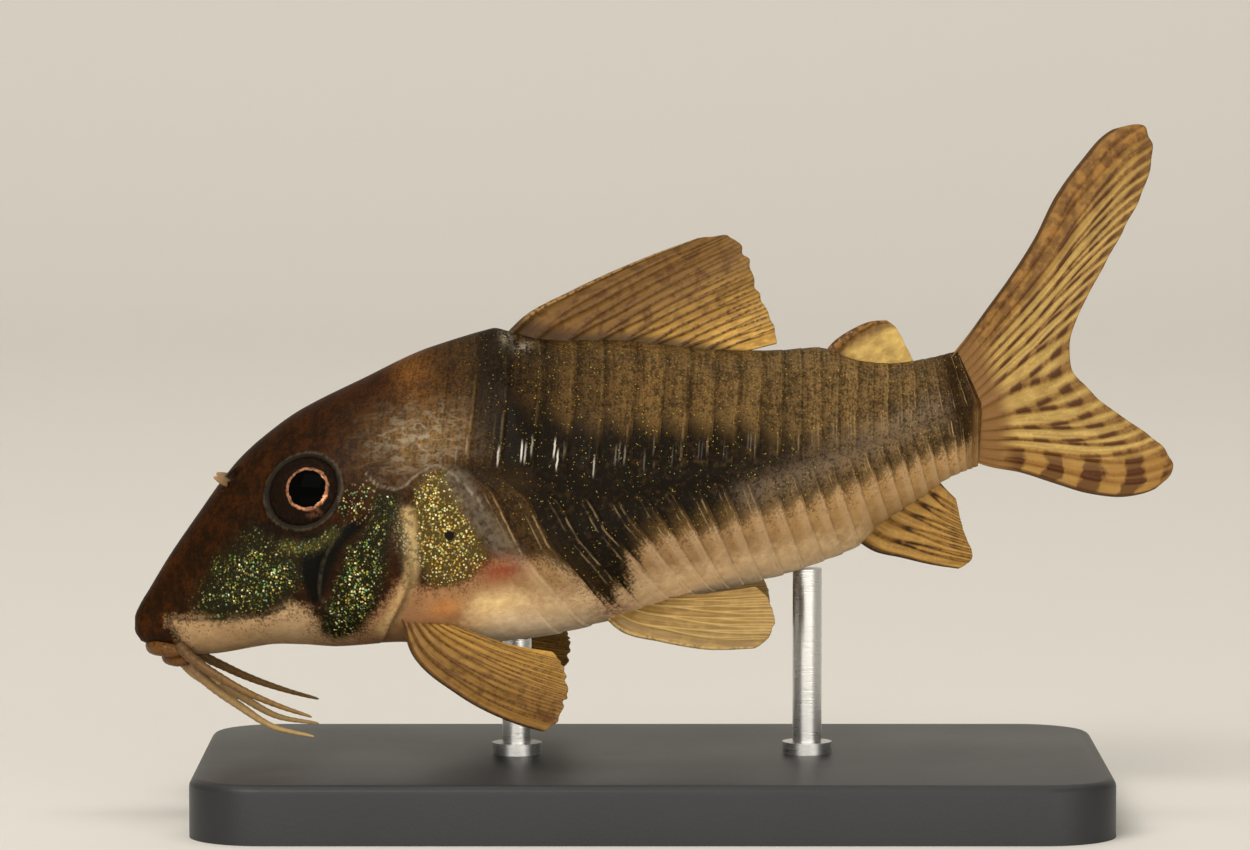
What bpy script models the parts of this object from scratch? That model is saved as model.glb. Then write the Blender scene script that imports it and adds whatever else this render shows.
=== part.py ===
"""A long-snouted corydoras catfish at life size, as a still display model on a plain stand.

World space is in metres with +Z up. The fish faces -X, its left side faces -Y, and the
underside of the stand's base is at Z = 0 with the origin in the middle of its length.
The sizes below are millimetres in the fish's own frame: x runs from the tip of the snout
towards the tail, y to the fish's right, and z towards its back.
"""

import bisect
import functools
import math

import bmesh
import bpy
import numpy as np
from mathutils import Matrix, Vector

OBJECT_NAME = "corydoras_catfish"
MM = 0.001

# The gap that neighbouring nodes keep.
GAP = 0.3

# The pose: nose down, and the tail swung a little to the fish's right.
NOSE_DOWN = math.radians(14.2)
SWAY = 3.5
SWAY_START = 30.0
SWAY_REACH = 45.0

# Where the body's nodes begin and end, measured along the lateral line.
SNOUT_X = -0.15
GILL_X = 20.0
FIRST_PLATE_X = 23.0
STEM_PLATE = 15
TAIL_END_X = 59.7

# The display stand.
BASE_LENGTH = 62.0
BASE_WIDTH = 34.0
BASE_HEIGHT = 4.0
BASE_CORNER = 5.0
BASE_EDGE = 0.6
SNOUT_HEIGHT = 12.9
ROD_RADIUS = 1.0
ROD_FRONT_X = 25.5
ROD_REAR_X = 46.0
ROD_SUNK = 1.5

# The eye and the bony rim round it, the nostril, and the lobe of skin in front of the nostril.
EYE_X = 13.4
EYE_Z = 6.65
EYE_RADII = (2.85, 2.65, 1.7)
EYE_DEPTH = 0.95
ORBIT_RADII = (2.72, 2.52)
ORBIT_RIM = 0.3
ORBIT_SUNK = 0.1
NOSTRIL_X = 9.2
NOSTRIL_Z = 7.95
NOSTRIL_RADII = (0.5, 0.4, 0.7)
NOSTRIL_RIM = 0.22
LOBE_FOOT = Vector((-0.55, -0.1, -0.2))
LOBE_LEAN = Vector((-0.35, 0.0, 1.1))
LOBE_LENGTH = 1.5
LOBE_RADII = (0.4, 0.34, 0.2)


def smooth_curve(points):
    """Returns a function of x: a cubic through the (x, value) points that never overshoots them."""
    xs = [point[0] for point in points]
    ys = [point[1] for point in points]
    slopes = [(y1 - y0) / (x1 - x0) for x0, x1, y0, y1 in zip(xs, xs[1:], ys, ys[1:])]
    inner = [0.0 if a * b <= 0 else 2 * a * b / (a + b) for a, b in zip(slopes, slopes[1:])]
    tangents = [slopes[0]] + inner + [slopes[-1]]

    @functools.lru_cache(maxsize=None)
    def value(x):
        x = min(max(x, xs[0]), xs[-1])
        i = min(bisect.bisect_right(xs, x) - 1, len(xs) - 2)
        width = xs[i + 1] - xs[i]
        t = (x - xs[i]) / width
        start = (1 + 2 * t) * (1 - t) ** 2 * ys[i] + t * (1 - t) ** 2 * width * tangents[i]
        end = t * t * (3 - 2 * t) * ys[i + 1] + t * t * (t - 1) * width * tangents[i + 1]
        return start + end

    return value


def smooth_path(points, count):
    """Returns `count` points spread evenly along a smooth line through `points`."""
    points = [Vector(point) for point in points]
    reach = [0.0]
    for a, b in zip(points, points[1:]):
        reach.append(reach[-1] + (b - a).length)
    axes = [smooth_curve([(r, p[axis]) for r, p in zip(reach, points)]) for axis in range(3)]
    return [Vector([axis(r) for axis in axes]) for r in np.linspace(0.0, reach[-1], count).tolist()]


def smoothstep(t):
    t = min(max(t, 0.0), 1.0)
    return t * t * (3 - 2 * t)


# The side view of the trunk: the back's line, the belly's line and the lateral line.
back_line = smooth_curve(
    [
        (-0.18, -0.35), (0.0, 0.45), (0.66, 1.34), (1.5, 2.17), (3.43, 4.07), (6.1, 6.41),
        (8.2, 8.2), (9.75, 9.34), (11.5, 10.3), (14.6, 11.55), (19.1, 12.55), (24.4, 13.55),
        (28.7, 13.75), (29.8, 13.25), (31.8, 12.2), (37.0, 10.8), (43.4, 8.5), (47.5, 7.4),
        (50.1, 6.9), (52.4, 5.4), (55.3, 4.5), (58.0, 4.3), (60.5, 4.3),
    ]
)  # fmt: skip
belly_line = smooth_curve(
    [
        (-0.18, -0.5), (0.0, -1.1), (0.75, -1.6), (2.4, -2.5), (3.7, -3.0), (5.3, -3.28),
        (8.6, -3.5), (10.75, -4.0), (13.25, -4.75), (17.3, -5.4), (20.0, -6.1), (25.3, -7.15),
        (29.2, -7.5), (37.9, -7.35), (43.7, -7.5), (47.7, -7.2), (49.3, -6.9), (51.2, -5.8),
        (54.1, -4.85), (56.8, -3.9), (60.5, -3.5),
    ]
)  # fmt: skip
lateral_line = smooth_curve(
    [
        (0.0, 0.0), (10.0, 3.3), (20.0, 5.5), (24.5, 5.2), (29.2, 3.3), (33.2, 2.15),
        (37.2, 1.25), (41.3, 0.65), (50.0, -0.15), (56.0, 0.2), (60.5, 0.4),
    ]
)  # fmt: skip

# The cross sections: half their width, the height of their widest line, and how square
# they are above and below it, where 2 is an ellipse and less is more pointed.
half_width = smooth_curve(
    [
        (-0.18, 0.1), (0.0, 0.75), (0.7, 1.35), (1.5, 1.8), (3.4, 2.65), (6.0, 3.8),
        (10.0, 5.2), (13.4, 6.2), (17.0, 7.1), (20.0, 7.6), (23.5, 7.9), (27.5, 7.85),
        (32.0, 7.4), (38.0, 6.5), (44.0, 5.3), (50.0, 3.9), (55.0, 2.6), (60.5, 1.5),
    ]
)  # fmt: skip
widest_line = smooth_curve(
    [(-0.18, -0.42), (0.7, -0.3), (5.0, -0.5), (15.0, -0.3), (25.0, -1.4), (40.0, -0.4), (60.5, 0.3)]
)
power_above = smooth_curve([(0.0, 2.1), (8.0, 1.9), (20.0, 1.8), (32.0, 1.6), (46.0, 1.75), (60.0, 2.1)])
power_below = smooth_curve([(0.0, 2.1), (10.0, 2.5), (20.0, 2.9), (36.0, 2.8), (50.0, 2.1), (60.0, 2.0)])

# A row runs from -1 on the back over 0 on the lateral line to 1 on the belly.
GROOVE_ROW = 0.05
ROWS_ABOVE = [-1.0, -0.9, -0.79, -0.67, -0.55, -0.43, -0.31, -0.19, -GROOVE_ROW]
ROWS_BELOW = [0.0, GROOVE_ROW, 0.14, 0.24, 0.34, 0.44, 0.54, 0.64, 0.74, 0.83, 0.92, 1.0]
ROWS = ROWS_ABOVE + ROWS_BELOW
GROOVE_DEPTH = 0.14
gill_opening = smooth_curve(
    [
        (-1.0, 23.2), (-0.5, 21.3), (0.0, 20.0), (0.15, 19.85), (0.25, 19.5), (0.38, 18.7),
        (0.55, 17.3), (0.75, 16.3), (1.0, 15.7),
    ]
)  # fmt: skip
sweep_above = smooth_curve([(20.0, 2.75), (34.0, 2.75), (50.0, 1.7), (55.0, 0.9), (60.0, -0.6)])
sweep_below = smooth_curve([(20.0, 4.5), (31.0, 4.3), (41.0, 0.9), (50.0, 0.5), (55.0, 0.1), (60.0, -1.1)])
plate_pitch = smooth_curve([(20.0, 2.1), (29.5, 2.05), (40.0, 1.7), (51.6, 1.15), (60.5, 0.8)])
plate_rise = smooth_curve([(20.0, 0.4), (40.0, 0.36), (60.0, 0.22)])

# The plates fade out before the back and the belly, except from the armour's start rearwards.
BACK_FADE = 0.2
BELLY_FADE = 0.16
ARMOUR_START = 40.0
ARMOUR_REACH = 8.0

# The gill cover stands out over the shoulder behind it, from COVER_START to its edge.
COVER_RISE = 0.42
COVER_START = 14.0
COVER_REACH = 4.5
COVER_TOP = -0.08
COVER_BOTTOM = 0.95
COVER_FADE = 0.2

# Where the rings lie: the snout's, the shoulder's with their rise, and a plate's, as shares of it.
SNOUT_RINGS = [SNOUT_X, -0.05, 0.15, 0.45, 0.85, 1.3, 1.8, 2.35, 2.95]
CHEEK_X = 3.6
CHEEK_RINGS = 27
SHOULDER_RINGS = [(GILL_X + GAP / 2, 0.0), (20.8, 0.5), (21.5, 0.75), (22.2, 1.0), (22.8, 1.0)]
WIDE_PITCH = 1.2
WIDE_PLATE_RINGS = [(0.0, 0.0), (0.45, 0.6), (0.9, 1.0)]
NARROW_PLATE_RINGS = [(0.0, 0.0), (0.82, 1.0)]
STEM_END_RISE = 0.3
STAGGER_FADE = 2.5


def section_point(x, angle, lift=0.0):
    """Returns (y, z) of the cross section at x, `angle` round from the back, raised by `lift`."""
    middle = widest_line(x)
    above = angle < math.pi / 2
    height = back_line(x) - middle if above else middle - belly_line(x)
    power = power_above(x) if above else power_below(x)
    width = half_width(x)
    sine = abs(math.sin(angle))
    cosine = math.cos(angle)
    scale = (sine**power + abs(cosine) ** power) ** (-1 / power)
    normal = Vector(
        (
            (scale * sine) ** (power - 1) / width,
            math.copysign((scale * abs(cosine)) ** (power - 1) / height, cosine),
        )
    ).normalized()
    return width * scale * sine + lift * normal.x, middle + height * scale * cosine + lift * normal.y


@functools.lru_cache(maxsize=None)
def lateral_angle(x):
    """Returns the angle round the section at x where it meets the lateral line."""
    low, high = 0.0, math.pi
    for _ in range(24):
        middle = (low + high) / 2
        if section_point(x, middle)[1] > lateral_line(x):
            low = middle
        else:
            high = middle
    return low


def flank_point(x, z):
    """Returns the point of the right flank at x and z, and the way out of the body there."""

    def flank_y(x, z):
        middle = widest_line(x)
        height, power = (
            (back_line(x) - middle, power_above(x))
            if z > middle
            else (middle - belly_line(x), power_below(x))
        )
        share = min(abs(z - middle) / height, 1.0)
        return half_width(x) * (1 - share**power) ** (1 / power)

    step = 0.05
    slope_x = (flank_y(x + step, z) - flank_y(x - step, z)) / (2 * step)
    slope_z = (flank_y(x, z + step) - flank_y(x, z - step)) / (2 * step)
    return Vector((x, flank_y(x, z), z)), Vector((-slope_x, 1.0, -slope_z)).normalized()


def station_x(u, row):
    """Returns where the ring that crosses the lateral line at u lies on another row.

    The rings follow the gill opening near the head and the swept plate edges behind it,
    and the plates below the lateral line are half a plate behind those above it.
    """
    gill = gill_opening(row) - GILL_X
    if u < GILL_X:
        return u + gill * (max(u, 0.0) / GILL_X) ** 2.5
    sweep = sweep_above(u) if row < 0 else sweep_below(u)
    stagger = plate_pitch(u) / 2 * smoothstep((TAIL_END_X - u) / STAGGER_FADE)
    shift = sweep * math.sin(math.pi / 2 * abs(row)) + stagger * min(max(row / GROOVE_ROW, 0.0), 1.0)
    blend = smoothstep((u - GILL_X) / (FIRST_PLATE_X - GILL_X))
    return u + gill * (1 - blend) + shift * blend


def relief(u, row, rise):
    """Returns how far the skin stands out at a ring whose plates are `rise` of their full height."""
    if u < GILL_X:
        cover = smoothstep((row - COVER_TOP) / COVER_FADE) * smoothstep((COVER_BOTTOM - row) / COVER_FADE)
        return COVER_RISE * cover * smoothstep((u - COVER_START) / COVER_REACH)
    if abs(row) < GROOVE_ROW / 2 and u > FIRST_PLATE_X:
        return -GROOVE_DEPTH
    ends = smoothstep(abs(row) / (2 * GROOVE_ROW))
    fade = BELLY_FADE if row > 0 else BACK_FADE
    ends *= max(smoothstep((1.0 - abs(row)) / fade), smoothstep((u - ARMOUR_START) / ARMOUR_REACH))
    return plate_rise(u) * rise * ends


def plate_starts():
    """Returns where each plate begins on the lateral line, and where the last one ends."""
    starts = [FIRST_PLATE_X]
    while starts[-1] + plate_pitch(starts[-1]) < TAIL_END_X:
        starts.append(starts[-1] + plate_pitch(starts[-1]))
    return starts


def head_stations():
    """Returns (u, rise) of the head's rings."""
    cheek = np.linspace(CHEEK_X, GILL_X - GAP / 2, CHEEK_RINGS).tolist()
    return [(u, 0.0) for u in SNOUT_RINGS + cheek]


def plate_stations(first, last):
    """Returns (u, rise) of the rings of plates `first` to `last`, each rising towards its rear edge."""
    starts = plate_starts() + [TAIL_END_X]
    stations = []
    for start, end in zip(starts[first:last], starts[first + 1 : last + 1]):
        pitch = end - start
        rings = WIDE_PLATE_RINGS if pitch > WIDE_PITCH else NARROW_PLATE_RINGS
        stations += [(start + share * pitch, rise) for share, rise in rings]
    return stations


def torso_stations():
    """Returns (u, rise) of the rings from the gill opening to the start of the tail's stem."""
    stations = SHOULDER_RINGS + plate_stations(0, STEM_PLATE)
    end = plate_starts()[STEM_PLATE] - GAP
    return [station for station in stations if station[0] < end] + [(end, 1.0)]


def stem_stations():
    """Returns (u, rise) of the rings of the tail's stem."""
    return plate_stations(STEM_PLATE, len(plate_starts())) + [(TAIL_END_X, STEM_END_RISE)]


def posed(point):
    """Returns the world place, in metres, of a point in the fish's frame."""
    x, y, z = point
    sway = SWAY * max(0.0, (x - SWAY_START) / SWAY_REACH) ** 2
    along = x * math.cos(NOSE_DOWN) - z * math.sin(NOSE_DOWN)
    up = x * math.sin(NOSE_DOWN) + z * math.cos(NOSE_DOWN) + SNOUT_HEIGHT
    return Vector((along, y + sway, up)) * MM


def new_object(name, bm, collection):
    """Makes an object of a bmesh that holds the fish's frame, and poses it."""
    for vertex in bm.verts:
        vertex.co = posed(vertex.co)
    bmesh.ops.recalc_face_normals(bm, faces=bm.faces)
    mesh = bpy.data.meshes.new(name)
    bm.to_mesh(mesh)
    bm.free()
    obj = bpy.data.objects.new(name, mesh)
    collection.objects.link(obj)
    return obj


def body_loft(name, stations, collection, lift=0.0):
    """Lofts the rings of one length of the body and closes both ends."""
    bm = bmesh.new()
    rings = []
    for u, rise in stations:
        ring = []
        for side, rows in ((1, ROWS), (-1, ROWS[-2:0:-1])):
            for row in rows:
                x = station_x(u, row)
                turn = lateral_angle(x)
                angle = turn * (1 + row) if row < 0 else turn + (math.pi - turn) * row
                y, z = section_point(x, angle, relief(u, row, rise) + lift)
                ring.append(bm.verts.new((x, side * y, z)))
        rings.append(ring)
    for ring, behind in zip(rings, rings[1:]):
        for i in range(len(ring)):
            j = (i + 1) % len(ring)
            bm.faces.new((ring[i], ring[j], behind[j], behind[i]))
    for ring, overhang in ((rings[0], -lift), (rings[-1], lift)):
        middle = sum((vertex.co for vertex in ring), Vector()) / len(ring)
        hub = bm.verts.new((middle.x + overhang, 0.0, middle.z))
        for i in range(len(ring)):
            bm.faces.new((ring[i], ring[(i + 1) % len(ring)], hub))
    return new_object(name, bm, collection)


def evaluated_mesh(obj):
    graph = bpy.context.evaluated_depsgraph_get()
    return bpy.data.meshes.new_from_object(obj.evaluated_get(graph))


def keep_largest(obj):
    """Drops every closed surface of the mesh but the one with the most volume."""
    bm = bmesh.new()
    bm.from_mesh(obj.data)
    bm.faces.ensure_lookup_table()
    left = set(bm.faces)
    islands = []
    while left:
        island = set()
        front = [left.pop()]
        while front:
            face = front.pop()
            island.add(face)
            near = {other for edge in face.edges for other in edge.link_faces} & left
            left -= near
            front += near
        islands.append(island)

    def volume(island):
        return sum(face.calc_center_median().dot(face.normal) * face.calc_area() for face in island)

    largest = max(islands, key=volume)
    scraps = [face for face in bm.faces if face not in largest]
    bmesh.ops.delete(bm, geom=scraps, context="FACES")
    bm.to_mesh(obj.data)
    bm.free()


def boolean(obj, tools, operation):
    """Joins the tools to the object, or cuts them from it, and keeps its largest closed surface."""
    group = bpy.data.collections.new("tools")
    for tool in tools:
        group.objects.link(tool)
    modifier = obj.modifiers.new(operation, "BOOLEAN")
    modifier.operation = operation
    modifier.operand_type = "COLLECTION"
    modifier.collection = group
    modifier.solver = "EXACT"
    shaped = evaluated_mesh(obj)
    obj.modifiers.clear()
    obj.data = shaped
    keep_largest(obj)
    bpy.data.collections.remove(group)


def discard(objects):
    for obj in objects:
        bpy.data.objects.remove(obj)


def ellipsoid(name, centre, outward, radii, collection, grow=0.0, segments=18):
    """A sphere stretched to radii along the body, up it and outward, set at a place on the skin."""
    bm = bmesh.new()
    bmesh.ops.create_uvsphere(bm, u_segments=segments, v_segments=segments * 5 // 9, radius=1.0)
    scale = Matrix.Diagonal((*(radius + grow for radius in radii), 1.0))
    bm.transform(Matrix.Translation(centre) @ skin_axes(outward) @ scale)
    return new_object(name, bm, collection)


def skin_axes(outward):
    """Returns a turn whose X runs along the body, Y up it and Z outward."""
    along = (Vector((1, 0, 0)) - outward * outward.x).normalized()
    return Matrix((along, outward.cross(along), outward)).transposed().to_4x4()


def ring_on_skin(name, centre, outward, radii, tube, collection, segments=24):
    """A torus stretched to radii along the body and up it, lying on the skin."""
    bpy.ops.mesh.primitive_torus_add(
        major_segments=segments, minor_segments=6, major_radius=1.0, minor_radius=tube / radii[0]
    )
    torus = bpy.context.object
    bm = bmesh.new()
    bm.from_mesh(torus.data)
    discard([torus])
    bm.transform(
        Matrix.Translation(centre) @ skin_axes(outward) @ Matrix.Diagonal((*radii, radii[0], 1.0))
    )
    return new_object(name, bm, collection)


def tube(name, path, radii, collection, resolution=2):
    """A round tapered tube along a path, with filled ends."""
    curve = bpy.data.curves.new(name, "CURVE")
    curve.dimensions = "3D"
    curve.bevel_depth = 1.0
    curve.bevel_resolution = resolution
    curve.use_fill_caps = True
    spline = curve.splines.new("POLY")
    spline.points.add(len(path) - 1)
    for point, place, radius in zip(spline.points, path, radii):
        point.co = (*place, 1.0)
        point.radius = radius
    guide = bpy.data.objects.new(name, curve)
    collection.objects.link(guide)
    bpy.context.view_layer.update()
    mesh = evaluated_mesh(guide)
    discard([guide])
    bm = bmesh.new()
    bm.from_mesh(mesh)
    bmesh.ops.remove_doubles(bm, verts=bm.verts, dist=0.0001)
    return new_object(name, bm, collection)


def mirrored(points, side):
    return [Vector((point[0], point[1] * side, point[2])) for point in points]


# Fins: the thickness of the membrane and of a ray, and how far the membrane reaches
# between two rays as a share of their length.
MEMBRANE = 0.5
RAY_ROOT = 0.9
RAY_TIP = 0.55
MEMBRANE_REACH = 0.97


def flat(points):
    """Lifts (x, z) points into the fish's middle plane."""
    return [(x, 0.0, z) for x, z in points]


def fin(name, form, collection, side=1):
    """A fan of rays in a membrane, one closed body.

    `form` gives the root and tip lines from the leading to the trailing edge, the points of
    those two edges between them, the number of rays, the leading ray's thickness at its
    root, and the number of steps from root to tip.
    """
    steps = form["steps"]
    columns = 2 * form["rays"] - 1
    root = smooth_path(mirrored(form["root"], side), columns)
    tip = smooth_path(mirrored(form["tip"], side), columns)
    front = smooth_path([root[0], *mirrored(form["front"], side), tip[0]], steps + 1)
    rear = smooth_path([root[-1], *mirrored(form["rear"], side), tip[-1]], steps + 1)
    grid = []
    for i in range(columns):
        s = i / (columns - 1)
        notch = 1.0 if i % 2 == 0 else MEMBRANE_REACH
        column = []
        for j in range(steps + 1):
            t = j / steps
            ruled = root[i].lerp(tip[i], t)
            edges = front[j].lerp(rear[j], s)
            corners = root[0].lerp(root[-1], s).lerp(tip[0].lerp(tip[-1], s), t)
            column.append(ruled + edges - corners)
        grid.append([column[0].lerp(place, notch) for place in column])
    bm = bmesh.new()
    upper, lower = [], []
    for i in range(columns):
        before, after = grid[max(i - 1, 0)], grid[min(i + 1, columns - 1)]
        thick_root = form["spine"] if i == 0 else RAY_ROOT
        upper.append([])
        lower.append([])
        for j in range(steps + 1):
            run = grid[i][min(j + 1, steps)] - grid[i][max(j - 1, 0)]
            normal = (after[j] - before[j]).cross(run).normalized()
            thick = thick_root + (RAY_TIP - thick_root) * j / steps if i % 2 == 0 else MEMBRANE
            upper[i].append(bm.verts.new(grid[i][j] + normal * thick / 2))
            lower[i].append(bm.verts.new(grid[i][j] - normal * thick / 2))

    def quad(a, b, c, d):
        bm.faces.new((a, b, c))
        bm.faces.new((a, c, d))

    for i in range(columns - 1):
        for j in range(steps):
            for sheet in (upper, lower):
                quad(sheet[i][j], sheet[i + 1][j], sheet[i + 1][j + 1], sheet[i][j + 1])
    for i in range(columns - 1):
        for j in (0, steps):
            quad(upper[i][j], upper[i + 1][j], lower[i + 1][j], lower[i][j])
    for j in range(steps):
        for i in (0, columns - 1):
            quad(upper[i][j], upper[i][j + 1], lower[i][j + 1], lower[i][j])
    return new_object(name, bm, collection)


DORSAL_FIN = {
    "root": flat([(29.1, 12.9), (31.8, 11.4), (37.0, 10.0), (43.4, 7.7)]),
    "front": flat([(31.0, 14.0), (34.5, 14.9), (39.9, 15.85)]),
    "tip": flat(
        [(44.5, 16.4), (46.0, 15.85), (46.9, 14.6), (46.85, 12.4), (47.1, 11.0), (47.5, 9.6), (47.6, 8.5)]
    ),
    "rear": flat([(45.5, 8.2)]),
    "rays": 9,
    "spine": 1.3,
    "steps": 6,
}
ADIPOSE_FIN = {
    "root": flat([(50.0, 6.2), (52.3, 4.7), (55.0, 3.8)]),
    "front": flat([(50.8, 7.05), (52.6, 7.6)]),
    "tip": flat([(54.6, 7.6), (55.4, 7.0), (55.7, 6.0), (56.2, 5.0)]),
    "rear": flat([(55.7, 4.6)]),
    "rays": 3,
    "spine": 1.0,
    "steps": 4,
}
ANAL_FIN = {
    "root": flat([(49.0, -6.2), (51.2, -5.0), (55.6, -3.6)]),
    "front": flat([(50.3, -7.6), (52.0, -8.5), (53.9, -9.5)]),
    "tip": flat([(56.0, -10.4), (56.75, -9.7), (56.65, -8.0), (56.6, -6.8), (56.7, -5.6)]),
    "rear": flat([(56.2, -4.8)]),
    "rays": 7,
    "spine": 0.9,
    "steps": 5,
}
FORK_HALF_GAP = 0.22
CAUDAL_UPPER = {
    "root": flat([(58.7, 3.7), (58.9, 0.3 + FORK_HALF_GAP)]),
    "front": flat([(60.2, 5.5), (62.7, 7.2), (66.1, 10.3), (68.6, 13.1), (71.3, 15.5)]),
    "tip": flat(
        [(74.6, 16.8), (75.9, 16.1), (75.4, 14.9), (73.6, 12.0), (70.8, 7.6), (67.5, 4.0), (66.8, 2.4)]
    ),
    "rear": flat([(63.0, 0.85 + FORK_HALF_GAP)]),
    "rays": 8,
    "spine": 1.1,
    "steps": 6,
}
CAUDAL_LOWER = {
    "root": flat([(58.3, -2.9), (58.9, 0.3 - FORK_HALF_GAP)]),
    "front": flat([(61.3, -4.7), (64.9, -6.8), (68.6, -8.05)]),
    "tip": flat(
        [(71.0, -7.9), (71.65, -7.0), (70.8, -5.4), (69.0, -2.8), (67.4, -0.6), (66.8, 1.0)]
    ),
    "rear": flat([(63.0, 0.85 - FORK_HALF_GAP)]),
    "rays": 7,
    "spine": 1.1,
    "steps": 6,
}
PECTORAL_FIN = {
    "root": [(17.3, 4.4, -4.2), (20.6, 5.0, -4.9)],
    "front": [(18.1, 6.6, -6.3), (20.7, 10.0, -9.0), (24.0, 13.0, -11.4)],
    "tip": [(26.3, 14.7, -12.5), (27.6, 14.3, -11.2), (28.2, 12.3, -9.5), (27.9, 9.8, -7.9)],
    "rear": [(24.2, 7.4, -6.5)],
    "rays": 9,
    "spine": 1.3,
    "steps": 6,
}
PELVIC_FIN = {
    "root": [(30.9, 3.5, -6.4), (34.2, 3.3, -6.6)],
    "front": [(32.4, 4.4, -8.3), (34.6, 5.0, -9.4), (37.6, 6.0, -10.6)],
    "tip": [(41.2, 7.1, -11.3), (42.4, 6.9, -10.3), (42.4, 6.2, -9.2), (41.9, 5.3, -8.1)],
    "rear": [(38.0, 4.3, -7.9)],
    "rays": 6,
    "spine": 0.9,
    "steps": 5,
}

# Head: the lips from the right corner of the mouth to its middle, and the right barbels.
UPPER_LIP = [(3.0, 1.85, -2.55), (2.0, 1.6, -2.3), (1.15, 0.9, -2.0), (0.85, 0.0, -1.85)]
LOWER_LIP = [(3.2, 1.55, -3.15), (2.45, 1.25, -3.2), (1.9, 0.65, -3.0), (1.7, 0.0, -2.9)]
LIP_RADIUS = 0.5
LIP_CORNER_RADIUS = 0.4
LIP_RINGS = 15
BARBELS = {
    "upper": [
        (3.0, 1.9, -2.5), (3.9, 2.5, -3.6), (4.9, 3.1, -4.6), (5.9, 3.6, -5.5), (8.35, 4.5, -7.3),
        (10.5, 5.1, -8.6),
    ],
    "lower": [
        (3.1, 1.5, -3.3), (3.7, 1.7, -4.55), (4.6, 2.0, -5.75), (5.6, 2.3, -6.85), (7.5, 2.9, -8.75),
        (10.2, 3.6, -10.1),
    ],
    "chin": [(2.5, 0.7, -3.0), (2.9, 0.85, -3.9), (3.6, 1.0, -4.8), (4.5, 1.15, -5.5)],
}  # fmt: skip
BARBEL_RINGS = 14
BARBEL_ROOT = 0.4
BARBEL_TIP = 0.18


def lips(collection, grow=0.0):
    """The two lips: tubes that run round the mouth from corner to corner."""
    made = []
    for name, half in (("upper_lip", UPPER_LIP), ("lower_lip", LOWER_LIP)):
        whole = mirrored(half, 1) + mirrored(half[-2::-1], -1)
        swell = np.sin(np.linspace(0.0, math.pi, LIP_RINGS))
        radii = LIP_CORNER_RADIUS + (LIP_RADIUS - LIP_CORNER_RADIUS) * swell + grow
        made.append(tube(name, smooth_path(whole, LIP_RINGS), radii.tolist(), collection))
    return made


def flank_place(x, z, side):
    """Returns the point of either flank at x and z, and the way out of the body there."""
    skin, outward = flank_point(x, z)
    flip = Vector((1, side, 1))
    return skin * flip, outward * flip


def make_head(parts, tools):
    head = body_loft("head", head_stations(), parts)
    joined = lips(tools)
    cutters = []
    for side in (-1, 1):
        skin, outward = flank_place(EYE_X, EYE_Z, side)
        rim = skin - outward * ORBIT_SUNK
        joined.append(ring_on_skin("orbit", rim, outward, ORBIT_RADII, ORBIT_RIM, tools))
        ball = skin - outward * EYE_DEPTH
        cutters.append(ellipsoid("socket", ball, outward, EYE_RADII, tools, grow=GAP))

        nostril, away = flank_place(NOSTRIL_X, NOSTRIL_Z, side)
        radii = [radius + NOSTRIL_RIM for radius in NOSTRIL_RADII[:2]]
        joined.append(ring_on_skin("nostril_rim", nostril, away, radii, NOSTRIL_RIM, tools, segments=14))
        foot = nostril + LOBE_FOOT * Vector((1, side, 1))
        rise = (away + LOBE_LEAN).normalized() * LOBE_LENGTH
        joined.append(tube("nostril_lobe", smooth_path([foot, foot + rise], 3), LOBE_RADII, tools))
        cutters.append(ellipsoid("nostril_pit", nostril, away, NOSTRIL_RADII, tools, segments=9))
    boolean(head, joined, "UNION")
    boolean(head, cutters, "DIFFERENCE")
    discard(joined + cutters)
    return head


def make_eyes(parts):
    for side, word in ((-1, "left"), (1, "right")):
        skin, outward = flank_place(EYE_X, EYE_Z, side)
        ellipsoid("eye_" + word, skin - outward * EYE_DEPTH, outward, EYE_RADII, parts)


def make_barbels(parts):
    """Tapered feelers from the corners of the mouth and from the lower lip."""
    made = []
    radii = np.linspace(BARBEL_ROOT, BARBEL_TIP, BARBEL_RINGS).tolist()
    for kind, half in BARBELS.items():
        for side, word in ((-1, "left"), (1, "right")):
            path = smooth_path(mirrored(half, side), BARBEL_RINGS)
            made.append(tube(f"barbel_{kind}_{word}", path, radii, parts, resolution=1))
    return made


# Stand

def make_base(parts):
    bm = bmesh.new()
    bmesh.ops.create_cube(bm, size=1.0)
    bm.transform(Matrix.Diagonal((BASE_LENGTH, BASE_WIDTH, BASE_HEIGHT, 1.0)))
    upright = [edge for edge in bm.edges if abs(edge.verts[0].co.z - edge.verts[1].co.z) > 1.0]
    bmesh.ops.bevel(
        bm, geom=upright, offset=BASE_CORNER, offset_type="OFFSET", segments=5, profile=0.5,
        affect="EDGES", material=-1,
    )  # fmt: skip
    rim = [edge for edge in bm.edges if all(vertex.co.z > 1.0 for vertex in edge.verts)]
    bmesh.ops.bevel(
        bm, geom=rim, offset=BASE_EDGE, offset_type="OFFSET", segments=2, profile=0.5,
        affect="EDGES", material=-1,
    )  # fmt: skip
    bm.transform(Matrix.Translation((0.0, 0.0, BASE_HEIGHT / 2)))
    bm.transform(Matrix.Scale(MM, 4))
    mesh = bpy.data.meshes.new("stand_base")
    bm.to_mesh(mesh)
    bm.free()
    base = bpy.data.objects.new("stand_base", mesh)
    parts.objects.link(base)
    return base


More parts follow.
